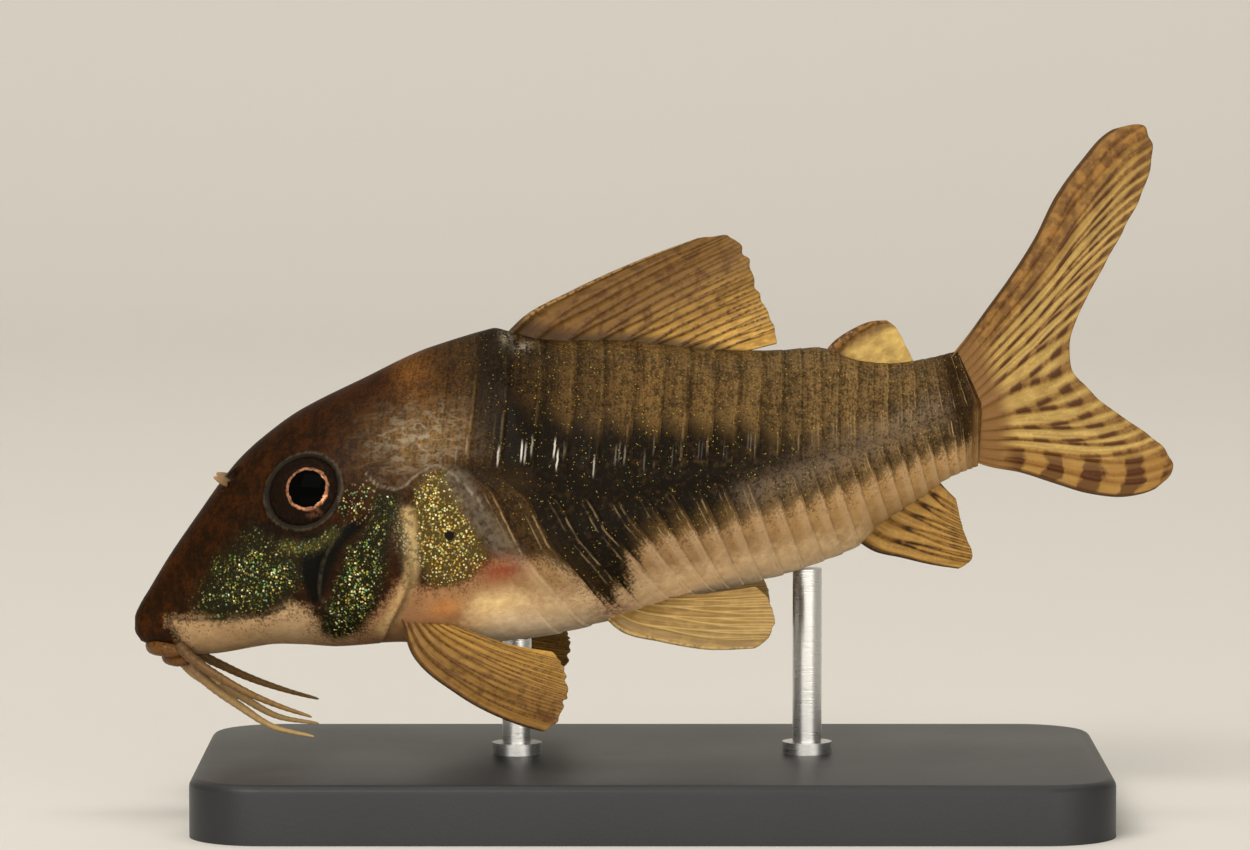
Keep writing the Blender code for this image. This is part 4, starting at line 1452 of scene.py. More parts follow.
@dataclass
class Skin:
    """One skin over the head, the torso and the tail's stem."""

    finish: SkinFinish
    markings: Markings = Markings()
    stations: int = 384
    around: int = 237
    end_rings: int = 6
    end_rise: float = 0.3
    end_taper: float = 0.72
    taper_start: float = 57.4

    @cached_property
    def orbits(self) -> list[Dent]:
        """Returns the sockets of both eyes."""
        return [orbit(side) for side in Side]

    def shape(self, across: Array, along: Array) -> Array:
        """Returns the skin's points.

        Args:
            across: From -2 on the belly over 0 on the back to 2 on the belly again.
            along: The rings' places on the lateral line, and a little past both ends.

        Returns:
            The points in the fish's frame, one in each row.
        """
        row = np.abs(across) - 1
        u = np.clip(along, TRUNK.snout_x, TRUNK.tail_end_x)
        x = TRUNK.station(u, row)
        turn = np.interp(x, *TRUNK.lateral_turns)
        angle = np.where(row < 0, turn * (1 + row), turn + (math.pi - turn) * row)
        y, z = TRUNK.section(x, angle)
        lift = TRUNK.relief(u, row) + self.markings.relief(*POSE.seen(np.stack([x, y, z], axis=-1)))
        y, z = TRUNK.section(x, angle, lift)
        end = smoothstep((u - self.taper_start) / (TRUNK.tail_end_x - self.taper_start))
        y = y * (1 - self.end_taper * end) * np.sign(across)
        points = np.stack([x, y, z], axis=-1)
        for dent in (*self.orbits, *(nostril(side) for side in Side)):
            points = dent.press(points)
        return self.close_ends(points, along)

    def close_ends(self, points: Array, along: Array) -> Array:
        """Returns points with the rings past both ends drawn in to the axis.

        Args:
            points: The skin's points.
            along: The ring that each lies on.

        Returns:
            The moved points.
        """
        past = np.clip((along - TRUNK.tail_end_x) / self.end_rise, 0.0, 1.0)
        size = np.where(along < TRUNK.snout_x, 0.0, np.sqrt(1 - past**2))
        end = np.where(along < TRUNK.snout_x, TRUNK.snout_x, TRUNK.tail_end_x + self.end_rise)
        pole = np.stack([end, np.zeros_like(end), TRUNK.widest(end)], axis=-1)
        return pole + (points - pole) * size[:, None]

    def build(self) -> Piece:
        """Makes and dresses the skin.

        Returns:
            The piece.
        """
        across = crowded(-2.0, 2.0, self.around, (-1.0, 1.0), 0.09, 1.6)
        starts = TRUNK.plate_starts
        edges = (TRUNK.gill_x, *starts, *(starts[:-1] - 0.12))
        inner = self.stations - self.end_rings
        along = crowded(TRUNK.snout_x, TRUNK.tail_end_x, inner, edges, 0.11, 2.6)
        turns = np.linspace(0.0, math.pi / 2, self.end_rings)[1:]
        past = TRUNK.tail_end_x + self.end_rise * np.sin(turns)
        along = np.concatenate(([TRUNK.snout_x - 0.01], along, past))

        def slit(_points: Array, across: Array, along: Array) -> Array:
            """Returns 1 in the slit behind the gill cover."""
            row = np.abs(across) - 1
            gap = np.exp(-(((along - TRUNK.gill_x - 0.06) / 0.16) ** 2))
            return gap * smoothstep((row - 0.05) / 0.2) * smoothstep((0.72 - row) / 0.3)

        def ring(points: Array, _across: Array, _along: Array) -> Array:
            """Returns 1 on the orbits' rings and inside them."""
            reach = np.minimum(*(dent.reach(points) for dent in self.orbits))
            return smoothstep((1.12 - reach) / 0.12)

        numbers = {
            **self.markings.numbers(),
            "along": lambda points, _across, _along: points[:, 0],
            "slit": slit,
            "orbit": ring,
        }
        charts = {"plates": lambda across, along: (TRUNK.plate_count(along), np.abs(across) - 1)}
        wrap = Wrap("catfish_skin", across, along, self.shape, numbers, charts)
        piece = wrap.build(self.finish.build(), "skin")
        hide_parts("head", "torso", "tail_stem")
        return piece


# Small parts


@dataclass(frozen=True)
class EyeFinish:
    """A wet black eye with a thin copper ring round its pupil."""

    pupil: float = 1.28
    ring: float = 1.47
    black: Colour = (0.0015, 0.0015, 0.0015)
    copper: Colour = (0.56, 0.25, 0.13)
    iris: Colour = (0.01, 0.006, 0.004)
    glow: Colour = (0.036, 0.02, 0.01)
    smudge: Colour = (0.3, 0.13, 0.06)

    def build(self) -> Material:
        """Returns the eye's material.

        Returns:
            The material.
        """
        shader = Shader("catfish_eye")
        along, up = shader.chart("iris")
        along, up = along - 0.5, up + 0.12
        noise = shader.noise(shader.place(), 0.35 * MM, 3.0)
        fine = shader.noise(shader.place(), 0.22 * MM, 2.0)
        reach = (along * along + up * up).math("SQRT") + (noise - 0.5) * 0.26
        smudge = up.within(-2.2, -1.7, -1.6, -1.3) * abs(along).step(0.7, 0.1)
        pupil, edge = self.pupil, self.ring
        ring = reach.within(pupil - 0.03, pupil + 0.03, edge - 0.06, edge + 0.08)
        colour = shader.lay(
            self.iris,
            (noise.step(0.45, 0.75) * 0.3, self.glow),
            (smudge * noise.step(0.3, 0.7) * 0.5, self.smudge),
            (ring * (fine.step(0.3, 0.6) * 0.7 + 0.3), self.copper),
            (reach.step(pupil + 0.04, pupil - 0.02), self.black),
        )
        surface = {
            "Base Color": colour,
            "Metallic": ring * 0.5,
            "Roughness": 0.12,
            "Specular IOR Level": 0.0,
            "Coat Weight": 0.006,
            "Coat Roughness": 0.02,
        }
        return shader.finish(surface)


@dataclass
class Eye:
    """One eyeball, set in its orbit."""

    side: Side
    finish: EyeFinish
    radii: Place = (2.85, 2.65, 1.7)
    depth: float = 0.95
    segments: int = 72
    rings: int = 60

    def shape(self, across: Array, along: Array) -> Array:
        """Returns the eyeball's points, from its outer pole at 0 to its inner pole at pi.

        Args:
            across: The turn round the eye's axis.
            along: The angle from the outer pole.

        Returns:
            The points.
        """
        place, fore, up, out = orbit(self.side).seat
        long, high, thick = self.radii
        ring = np.sin(along)
        return (
            place
            + (long * ring * np.cos(across))[:, None] * fore
            + (high * ring * np.sin(across))[:, None] * up
            + (thick * np.cos(along) - self.depth)[:, None] * out
        )

    def iris_chart(self, across: Array, along: Array) -> tuple[Array, Array]:
        """Returns the distances along and up from the eye's middle, in millimetres."""
        ring = np.where(along < math.pi / 2, np.sin(along), 1.0)
        return self.radii[0] * ring * np.cos(across), self.radii[1] * ring * np.sin(across)

    def build(self) -> Piece:
        """Makes and dresses the eyeball.

        Returns:
            The piece.
        """
        name = f"eyeball_{self.side.word}"
        across = np.linspace(0.0, 2 * math.pi, self.segments + 1)
        along = np.linspace(0.0, math.pi, self.rings + 1)
        wrap = Wrap(name, across, along, self.shape, {}, {"iris": self.iris_chart})
        piece = wrap.build(self.finish.build(), "eye")
        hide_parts(f"eye_{self.side.word}")
        return piece


@dataclass(frozen=True)
class SoftFinish:
    """Smooth wet skin that goes from one colour at its root to another at its tip."""

    name: str
    root: Colour
    tip: Colour
    spots: float = 0.0
    spot_tint: Colour = (0.05, 0.028, 0.012)

    def build(self) -> Material:
        """Returns the material.

        Returns:
            The material.
        """
        shader = Shader(self.name)
        _, along = shader.chart("length")
        noise = shader.noise(shader.place(), 0.3 * MM, 3.0)
        spots = noise.step(0.52, 0.62) * self.spots
        colour = shader.lay(self.root, (along, self.tip), (spots, self.spot_tint))
        surface = {
            "Base Color": colour,
            "Roughness": 0.4,
            "Specular IOR Level": 0.12,
            "Coat Weight": 0.05,
            "Coat Roughness": 0.15,
        }
        return shader.finish(surface, noise, 0.03 * MM)


@dataclass
class Tube:
    """A tapering soft part along a path, with rounded ends.

    Attributes:
        name: The piece's name.
        slot: The record's slot of its finish.
        finish: Its finish.
        path: The points it runs through.
        girth: The half width in millimetres at shares of its length.
        flat: How thick it is for its width.
        wrinkles: How deep its wrinkles are for its width.
        nodes: The nodes that it stands for.
        rings: How many rings it has.
        segments: How many sides each ring has.
    """

    name: str
    slot: str
    finish: SoftFinish
    path: Points
    girth: Line
    flat: float = 1.0
    wrinkles: float = 0.0
    nodes: Sequence[str] = ()
    rings: int = 90
    segments: int = 24

    def shape(self, across: Array, along: Array) -> Array:
        """Returns the tube's points.

        Args:
            across: The turn round the path.
            along: How far along the path, from 0 to 1.

        Returns:
            The points.
        """
        path = Path(self.path)
        here = path(along)
        heading = path(np.minimum(along + 0.01, 1.0)) - path(np.maximum(along - 0.01, 0.0))
        heading /= np.linalg.norm(heading, axis=1)[:, None]
        beside = np.cross(heading, (0.31, 0.52, -0.8))
        beside /= np.linalg.norm(beside, axis=1)[:, None]
        upward = np.cross(beside, heading)
        ends = np.sqrt(np.clip(1 - (np.abs(2 * along - 1)) ** 24, 0.0, 1.0))
        girth = self.girth(along) * ends * (1 + self.wrinkles * np.sin(along * 130.0))
        return (
            here
            + (girth * np.cos(across))[:, None] * beside
            + (girth * self.flat * np.sin(across))[:, None] * upward
        )

    def build(self) -> Piece:
        """Makes and dresses the tube.

        Returns:
            The piece.
        """
        along = np.sin(np.linspace(-math.pi / 2, math.pi / 2, self.rings)) / 2 + 0.5
        across = np.linspace(0.0, 2 * math.pi, self.segments + 1)
        charts = {"length": lambda across, along: (across, along)}
        wrap = Wrap(self.name, across, along, self.shape, {}, charts)
        piece = wrap.build(self.finish.build(), self.slot)
        if self.nodes:
            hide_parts(*self.nodes)
        return piece


@dataclass
class Mouth:
    """The lips, the barbels and the flaps of the nostrils."""

    lip: SoftFinish
    pale: SoftFinish
    brown: SoftFinish
    flap: SoftFinish
    upper_lip: Points = (
        (3.0, 1.8, -2.45), (2.0, 1.55, -2.15), (1.15, 0.9, -1.82), (0.85, 0.0, -1.68),
    )
    lower_lip: Points = (
        (3.2, 1.55, -3.0), (2.45, 1.25, -3.0), (1.9, 0.65, -2.78), (1.7, 0.0, -2.68),
    )
    upper_barbel: Points = (
        (2.6, 1.9, -1.75), (3.05, 2.1, -2.6), (3.85, 2.5, -3.6), (4.9, 3.1, -4.6),
        (5.9, 3.6, -5.5), (8.35, 4.5, -7.3), (10.5, 5.1, -8.6),
    )
    lower_barbel: Points = (
        (3.1, 1.5, -3.3), (3.7, 1.7, -4.55), (4.6, 2.0, -5.75), (5.6, 2.3, -6.85),
        (7.5, 2.9, -8.75), (10.2, 3.6, -10.1),
    )
    chin_barbel: Points = ((2.5, 0.7, -3.0), (2.9, 0.85, -3.9), (3.6, 1.0, -4.8), (4.5, 1.15, -5.5))

    def lips(self) -> list[Tube]:
        """Returns both lips, each from corner to corner.

        Returns:
            The upper lip and the lower one.
        """
        lips = []
        for name, points, girth in (
            ("lip_upper", self.upper_lip, 0.6),
            ("lip_lower", self.lower_lip, 0.56),
        ):
            path = [*points, *((x, -y, z) for x, y, z in points[-2::-1])]
            width = Line([(0.0, 0.36), (0.5, girth), (1.0, 0.36)])
            lips.append(Tube(name, "skin", self.lip, path, width, wrinkles=0.03))
        return lips

    def barbels(self, side: Side) -> list[Tube]:
        """Returns the three barbels of one side.

        Args:
            side: Their side.

        Returns:
            The barbels.
        """
        girth = Line([(0.0, 0.46), (0.12, 0.37), (0.6, 0.24), (1.0, 0.1)])
        tubes = []
        for kind, points, finish in (
            ("upper", self.upper_barbel, self.brown),
            ("lower", self.lower_barbel, self.pale),
            ("chin", self.chin_barbel, self.pale),
        ):
            name = f"barbel_{kind}_{side.word}"
            path = on_side(points, side)
            tube = Tube(f"soft_{name}", "barbel", finish, path, girth, wrinkles=0.05, nodes=[name])
            tubes.append(tube)
        return tubes

    def flap_on(self, side: Side) -> Tube:
        """Returns the flap in front of one nostril.

        Args:
            side: The nostril's side.

        Returns:
            The flap.
        """
        place, along, up, out = nostril(side).seat
        foot = place - 0.62 * along - 0.08 * up - 0.2 * out
        path = [foot + share * (-0.45 * along + 1.1 * out + 0.25 * up) for share in (0.0, 0.5, 1.0)]
        girth = Line([(0.0, 0.42), (0.5, 0.34), (1.0, 0.1)])
        return Tube(f"nostril_flap_{side.word}", "skin", self.flap, path, girth, flat=0.55)

    def build(self) -> list[Piece]:
        """Makes and dresses every soft part of the mouth.

        Returns:
            The pieces.
        """
        tubes = self.lips()
        for side in Side:
            tubes += [*self.barbels(side), self.flap_on(side)]
        return [tube.build() for tube in tubes]


# Fins


@dataclass(frozen=True)
class FinFinish:
    """A clear membrane on rays that carry dark bars.

    Attributes:
        name: The material's name.
        membrane: The membrane's colour.
        ray: The rays' colour.
        bar: The colour of the bars and blotches.
        spine: The colour of the front edge.
        root_tint: The colour of the root.
        clear: How opaque each side of the membrane is.
        rows: How many rows of bars lie between root and tip.
        slant: How many rows the bars shift from front to rear.
        start: The share of the length where the bars start.
        end: The share where they end.
        strength: How strong the bars are.
        speckle: How strong the fine dots along the rays are.
        root: How strong the root's tint is.
        reach: How far the root's tint reaches, in millimetres.
        tip: How dark the tip is.
        lead: The share of the fin, from its front edge, that is brown and blotched.
        lead_tint: The colour of that part.
        lead_taper: How much of that part is lost towards the tip.
        blocks: How far the bars cover the membrane along the rear edge.
        shade: How brown the membrane is at the front edge.
        shade_start: The share of the fin where that brown starts to fade.
        front_rays: How strong the rays' colour is at the front edge.
        strand_tones: The tones between the membrane's fine strands and on them.
    """

    name: str
    membrane: Colour
    ray: Colour
    bar: Colour = (0.02, 0.01, 0.004)
    spine: Colour = (0.07, 0.036, 0.014)
    root_tint: Colour = (0.18, 0.085, 0.024)
    clear: float = 0.5
    rows: float = 5.0
    slant: float = 0.5
    start: float = 0.1
    end: float = 0.95
    strength: float = 0.8
    speckle: float = 0.4
    root: float = 0.4
    reach: float = 1.2
    tip: float = 0.0
    lead: float = 0.0
    lead_tint: Colour = (0.26, 0.125, 0.033)
    lead_taper: float = 0.0
    blocks: float = 0.0
    shade: float = 0.0
    shade_start: float = 0.0
    front_rays: float = 1.0
    strand_tones: Tones = ((0.8, 0.75, 0.68), (1.14, 1.13, 1.1))

    def build(self) -> Material:
        """Returns the fin's material.

        Returns:
            The material.
        """
        shader = Shader(self.name)
        place = shader.place()
        across, along = shader.chart("rays")
        share, _ = shader.chart("span")
        out, ray, spine = (shader.attribute(name) for name in ("out", "ray", "spine"))
        noise = shader.noise(place, 0.8 * MM, 3.0)
        fine = shader.noise(place, 0.28 * MM, 2.0)
        own = shader.random((across + 0.5).whole())

        shade = share.step(1.0, self.shade_start) * self.shade + noise.step(0.45, 0.75) * 0.3
        strand = shader.node(
            "ShaderNodeCombineXYZ", None, {0: across, 1: along * 0.9, 2: self.rows}
        )
        strand = shader.noise(strand, 0.2, 3.0).step(0.34, 0.66)
        membrane = shader.mix(shade, self.membrane, self.ray)
        membrane = shader.times(membrane, shader.mix(strand, *self.strand_tones))

        lead = self.lead
        leading = (share + along * lead * self.lead_taper).step(lead + 0.08, lead - 0.06)
        leading = leading * float(lead > 0)
        blotch = (noise * 0.7 + fine * 0.3).step(0.4, 0.6)
        brown = shader.mix(blotch * 0.75, self.lead_tint, self.bar)

        edge = share.step(0.8, 0.9) * self.blocks
        blocks = edge + leading * 0.7
        even = along * self.rows + share * self.slant * self.rows + (noise - 0.5) * 0.5
        start, end = self.start, self.end
        reach = along.within(start - 0.06, start + 0.06, end - 0.08, end + 0.08)
        block = even.rest().within(0.38, 0.52, 0.86, 1.0) * reach * edge
        bars = (even + own * 0.35).rest().within(0.26, 0.48, 0.82, 1.0)
        bars = bars * reach * (noise + own * 0.4).step(0.38, 0.58)
        bars = (bars * (1 - edge)).math("MAXIMUM", block)
        barred = (ray * 0.9 + 0.05 + blocks * 0.6) * self.strength * 1.25 * (1 - leading * 0.6)

        shown = share.step(0.0, 0.8) * (1.0 - self.front_rays) + self.front_rays
        dots = fine.step(0.52, 0.6) * self.speckle
        beside = ray * (1 - ray) * 4.0
        rooted = (out + (noise - 0.5)).step(self.reach * 1.3, self.reach * 0.7)
        colour = shader.lay(
            membrane,
            (ray * shown * 0.9, self.ray),
            (dots * shown * (ray * 0.5 + beside * 0.6), self.bar),
            (leading * 0.85, brown),
            (edge * 0.7, self.lead_tint),
            ((bars * barred).math("MINIMUM", 1.0), self.bar),
            (spine, shader.mix(fine.step(0.46, 0.58) * 0.8, self.spine, self.bar)),
            (rooted * self.root, self.root_tint),
            (along.step(0.8, 1.0) * self.tip, self.spine),
        )
        solid = ray * (1 - self.clear) * 1.1 + self.clear + spine + out.step(self.reach * 1.5, 0.0)
        solid = solid + leading * 0.25 + edge * 0.25 + bars * blocks * 0.4
        solid = solid + shade * 0.3 + dots * 0.3
        joints = (along * 34.0).rest().step(0.1, 0.3) * ray
        surface = {
            "Base Color": colour,
            "Alpha": solid.math("MINIMUM", 1.0),
            "Roughness": 0.45,
            "Specular IOR Level": 0.12,
            "Coat Weight": 0.04,
            "Coat Roughness": 0.15,
        }
        return shader.finish(surface, joints * 0.6 + fine * 0.4, 0.035 * MM)


@dataclass(frozen=True)
class FinForm:
    """The edges of one fin and its rays.

    Attributes:
        root: The root from front to rear.
        front: The front edge between root and tip.
        tip: The outer edge from front to rear.
        rear: The rear edge between root and tip.
        rays: How many rays there are, with those along both edges.
        spine: How thick the front edge is.
        rear_spine: How thick the rear edge is, if it is stout too.
        spine_width: How wide the stout edges are, as a share of the rays' spacing.
        ray_widths: The rays' half width at root and tip, as a share of their spacing.
        ray_show: How far the rays show in the membrane.
        fork_start: The share of their length where the rays fork.
        fork_reach: The share over which the branches part.
        twig_start: The share of their length where the branches fork again.
        gather: How far the rays gather towards both ends of the tip.
        hold: How quickly the edges' bend fades between them.
        ripple: How far the membrane waves.
        rounding: How far both corners of the tip are rounded off, as a share of the length.
        round_width: How wide the rounding is, in rays.
        smooth_root: The share of their length over which the rays rise out of the root.
        notch: How deep the outer edge is notched between the rays, as a share of their length.
    """

    root: Points
    front: Points
    tip: Points
    rear: Points
    rays: int
    spine: float = 1.0
    rear_spine: float = 0.0
    spine_width: float = 0.45
    ray_widths: tuple[float, float] = (0.13, 0.05)
    ray_show: float = 1.0
    fork_start: float = 0.2
    fork_reach: float = 0.5
    twig_start: float = 0.5
    gather: float = 0.0
    hold: float = 2.0
    ripple: float = 0.15
    rounding: float = 0.05
    round_width: float = 0.7
    smooth_root: float = 0.05
    notch: float = 0.01

    @property
    def gaps(self) -> int:
        """Returns how many gaps lie between the rays."""
        return self.rays - 1


@dataclass
class Fin:
    """A thin membrane on branching rays, with a stout spine in front."""

    name: str
    slot: str
    form: FinForm
    finish: FinFinish
    nodes: Sequence[str]
    membrane: float = 0.13
    columns: int = 16
    lines: int = 96

    @cached_property
    def edges(self) -> tuple[Path, Path, Path, Path]:
        """Returns the root, the tip, the front edge and the rear edge.

        Returns:
            The four edges.
        """
        form = self.form
        front = Path([form.root[0], *form.front, form.tip[0]])
        rear = Path([form.root[-1], *form.rear, form.tip[-1]])
        return Path(form.root), Path(form.tip), front, rear

    def sheet(self, share: Array, along: Array) -> Array:
        """Returns points of the fin's middle sheet.

        Args:
            share: How far from the front edge to the rear edge.
            along: How far from the root to the tip.

        Returns:
            The points in the fish's frame.
        """
        root, tip, front, rear = self.edges
        a, b = share[:, None], along[:, None]
        far = share - self.form.gather * np.sin(2 * math.pi * share)
        straight = (1 - b) * root(share) + b * tip(far)
        ends = np.zeros(1), np.ones(1)
        front_bend, rear_bend = (
            edge(along) - (1 - b) * root(end) - b * tip(end)
            for edge, end in zip((front, rear), ends)
        )
        return straight + (1 - a) ** self.form.hold * front_bend + a**self.form.hold * rear_bend

    def ray(self, share: Array, along: Array) -> Array:
        """Returns 1 on the middle of each ray and its branches, falling to 0 between them.

        Args:
            share: How far from the front edge to the rear edge.
            along: How far from the root to the tip.

        Returns:
            The strength at each place.
        """
        form = self.form
        count = share * form.gaps
        away = np.abs(count - np.rint(count))
        inner = smoothstep(count) * smoothstep((1 - share) * form.gaps)
        fork = 0.25 * smoothstep((along - form.fork_start) / form.fork_reach) * inner
        twig = 0.11 * smoothstep((along - form.twig_start) / 0.4) * inner
        wide, narrow = form.ray_widths
        width = wide - (wide - narrow) * smoothstep(along / 0.8)
        return form.ray_show * np.exp(-(((np.abs(away - fork) - twig) / width) ** 2))

    def out(self, share: Array, along: Array) -> Array:
        """Returns how far each place lies from the root, in millimetres."""
        foot = self.sheet(share, np.zeros_like(along))
        return np.linalg.norm(self.sheet(share, along) - foot, axis=1)

    def spines(self, share: Array, along: Array) -> Array:
        """Returns 1 on the stout edges, falling to 0 behind them.

        Args:
            share: How far from the front edge to the rear edge.
            along: How far from the root to the tip.

        Returns:
            The strength at each place.
        """
        gaps = self.form.gaps
        wide = self.form.spine_width * (1 - 0.6 * along)
        front = smoothstep((wide - share * gaps) / (0.6 * wide))
        rear = smoothstep((wide - (1 - share) * gaps) / (0.6 * wide))
        return np.maximum(front, rear * (self.form.rear_spine > 0))

    def shape(self, across: Array, along: Array) -> Array:
        """Returns the fin's points, on its right side where across is positive.

        Args:
            across: The share across, negative on the left side.
            along: How far from the root to the tip.

        Returns:
            The points.
        """
        form = self.form
        share = np.abs(across)
        gap = 0.5 - 0.5 * np.cos(2 * math.pi * share * form.gaps)
        gap = gap * (0.6 + 0.4 * np.sin(23.0 * share))
        corner = 1 - np.minimum(share, 1 - share) * form.gaps / form.round_width
        corner = np.clip(corner, 0, 1)
        far = along * (1 - form.notch * gap * along**5 - form.rounding * corner**2 * along**3)
        here = self.sheet(share, far)
        out = self.outward(share, far)
        ray = self.ray(share, along) * (0.34 - 0.24 * along)
        ray = ray * smoothstep(along / form.smooth_root)
        stout = np.where(share < 0.5, form.spine, form.rear_spine)
        spine = self.spines(share, along) * stout * (0.85 - 0.5 * along)
        closed = np.sqrt(1 - (1 - np.clip(share * form.gaps / 0.2, 0, 1)) ** 2)
        closed = closed * np.clip((1 - share) * form.gaps / 0.08, 0, 1)
        closed = closed * np.clip(along / 0.02, 0, 1) * np.clip((1 - along) / 0.02, 0, 1) ** 0.5
        half = (self.membrane + np.maximum(ray, spine)) / 2 * closed
        ripple = form.ripple * along * np.sin(2 * math.pi * share * 2.3 + 1.2 * along)
        return here + (half * np.sign(across) + ripple)[:, None] * out

    def outward(self, share: Array, along: Array) -> Array:
        """Returns the directions straight out of the fin's middle sheet.

        Args:
            share: How far from the front edge to the rear edge.
            along: How far from the root to the tip.

        Returns:
            One direction in each row, towards the fin's right side.
        """
        step = 0.004
        fore, aft = np.maximum(share - step, 0.0), np.minimum(share + step, 1.0)
        low, high = np.maximum(along - step, 0.0), np.minimum(along + step, 1.0)
        run = self.sheet(aft, along) - self.sheet(fore, along)
        climb = self.sheet(share, high) - self.sheet(share, low)
        out = np.cross(run, climb)
        return out / np.maximum(np.linalg.norm(out, axis=1), TINY)[:, None]

    def build(self) -> Piece:
        """Makes and dresses the fin.

        Returns:
            The piece.
        """
        gaps = self.form.gaps
        side = crowded(0.0, 1.0, self.columns * gaps + 1, (0.0, 1.0), 0.2 / gaps, 1.5)
        across = np.concatenate((-side[:0:-1], side))
        along = crowded(0.0, 1.0, self.lines, (0.0, 1.0), 0.03, 2.5)

        def sided(measure: Callable[[Array, Array], Array]) -> Number:
            """Returns a measure of the fin's sheet as a number of the wrapped points."""
            return lambda _points, across, along: measure(np.abs(across), along)

        numbers = {
            "ray": sided(self.ray),
            "spine": sided(self.spines),
            "out": sided(self.out),
        }
        charts = {
            "rays": lambda across, along: (np.abs(across) * gaps, along),
            "span": lambda across, along: (np.abs(across), along),
        }
        wrap = Wrap(self.name, across, along, self.shape, numbers, charts)
        piece = wrap.build(self.finish.build(), self.slot)
        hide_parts(*self.nodes)
        return piece


@dataclass
class FinSet:
    """Every fin of the fish."""

    dorsal: FinForm = FinForm(
        root=in_middle([(29.1, 12.9), (31.8, 11.4), (37.0, 10.0), (43.4, 7.7)]),
        front=in_middle([(31.0, 14.0), (34.5, 14.9), (39.9, 15.85)]),
        tip=in_middle([
            (44.6, 16.35), (46.0, 15.85), (46.8, 14.6), (46.9, 12.6), (47.1, 11.0), (47.4, 9.4),
            (47.5, 7.9),
        ]),
        rear=in_middle([(45.5, 7.9)]),
        rays=9,
        spine=0.9,
        spine_width=0.38,
        ray_widths=(0.11, 0.045),
        fork_start=0.02,
        fork_reach=0.35,
        notch=0.024,
    )
    adipose: FinForm = FinForm(
        root=in_middle([(50.0, 6.2), (52.3, 4.7), (55.0, 3.8)]),
        front=in_middle([(50.9, 6.95), (52.6, 7.6), (53.9, 7.78)]),
        tip=in_middle([(55.15, 7.55), (55.5, 6.95), (55.8, 5.8), (56.15, 4.3)]),
        rear=in_middle([(55.9, 4.0)]),
        rays=3,
        spine=0.8,
        spine_width=0.35,
        ray_show=0.0,
        hold=3.0,
        ripple=0.0,
        rounding=0.03,
        round_width=0.4,
    )
    anal: FinForm = FinForm(
        root=in_middle([(49.0, -6.2), (51.2, -5.0), (55.6, -3.6)]),
        front=in_middle([(50.3, -7.6), (52.0, -8.5), (53.9, -9.5)]),
        tip=in_middle([
            (56.0, -10.4), (56.75, -9.7), (56.65, -8.0), (56.6, -6.8), (56.7, -5.6),
        ]),
        rear=in_middle([(56.2, -4.8)]),
        rays=7,
        spine=0.5,
    )
    caudal: FinForm = FinForm(
        root=in_middle([(58.0, 3.6), (58.6, 0.4), (57.8, -2.9)]),
        front=in_middle([
            (59.9, 5.0), (61.96, 6.7), (63.85, 8.27), (66.2, 10.47), (68.3, 12.9), (70.58, 14.8),
            (72.71, 16.2),
        ]),
        tip=in_middle([
            (74.3, 16.6), (75.3, 16.25), (75.75, 15.3), (75.4, 13.6), (74.0, 11.3), (72.3, 9.4),
            (70.6, 7.6), (69.0, 5.9), (67.6, 4.2), (66.8, 2.7), (66.6, 1.3), (67.3, -0.4),
            (68.6, -2.3), (70.0, -3.9), (71.3, -5.5), (71.8, -6.75), (71.5, -7.7), (70.9, -8.15),
        ]),
        rear=in_middle([
            (59.3, -3.9), (61.4, -4.9), (63.46, -6.2), (65.52, -7.45), (68.26, -8.4), (70.0, -8.4),
        ]),
        rays=15,
        spine=0.6,
        rear_spine=0.5,
        ray_widths=(0.2, 0.09),
        fork_start=0.4,
        fork_reach=0.5,
        twig_start=0.75,
        gather=0.06,
        hold=3.0,
        smooth_root=0.3,
    )
    pectoral: FinForm = FinForm(
        root=[(18.1, 6.2, -3.2), (20.7, 6.5, -4.2)],
        front=[(18.3, 7.6, -5.9), (20.7, 10.0, -9.0), (24.0, 13.0, -11.4)],
        tip=[(26.3, 14.7, -12.5), (27.6, 14.3, -11.2), (28.2, 12.3, -9.5), (27.9, 9.8, -7.9)],
        rear=[(24.2, 7.4, -6.5)],
        rays=9,
        spine=0.9,
        notch=0.02,
    )
    pelvic: FinForm = FinForm(
        root=[(30.9, 3.5, -6.3), (34.4, 3.3, -6.3)],
        front=[(32.4, 4.4, -8.3), (34.6, 5.0, -9.4), (37.6, 6.0, -10.6)],
        tip=[(41.3, 7.1, -11.3), (42.4, 6.9, -10.2), (42.6, 6.2, -8.8), (42.2, 5.3, -7.4)],
        rear=[(38.0, 4.3, -7.0)],
        rays=6,
        spine=0.5,
    )

    def on(self, form: FinForm, side: Side) -> FinForm:
        """Returns a paired fin's form on one side of the fish."""
        edges = ("root", "front", "tip", "rear")
        return replace(form, **{edge: on_side(getattr(form, edge), side) for edge in edges})

    def build(self, finishes: dict[str, FinFinish]) -> list[Piece]:
        """Makes every fin and dresses it in its kind's finish.

        Args:
            finishes: Each kind's finish by its name.

        Returns:
            The pieces.
        """
        fins = []
        for kind, form, nodes, columns in (
            ("dorsal", self.dorsal, ["dorsal_fin"], 16),
            ("adipose", self.adipose, ["adipose_fin"], 26),
            ("anal", self.anal, ["anal_fin"], 16),
            ("caudal", self.caudal, ["caudal_fin_upper", "caudal_fin_lower"], 16),
        ):
            name = f"{kind}_sail"
            fins.append(Fin(name, f"{kind}_fin", form, finishes[kind], nodes, columns=columns))
        for side in Side:
            for kind, form in (("pectoral", self.pectoral), ("pelvic", self.pelvic)):
                name = f"{kind}_sail_{side.word}"
                node = f"{kind}_fin_{side.word}"
                fins.append(Fin(name, f"{kind}_fin", self.on(form, side), finishes[kind], [node]))
        return [fin.build() for fin in fins]


# Stand and studio


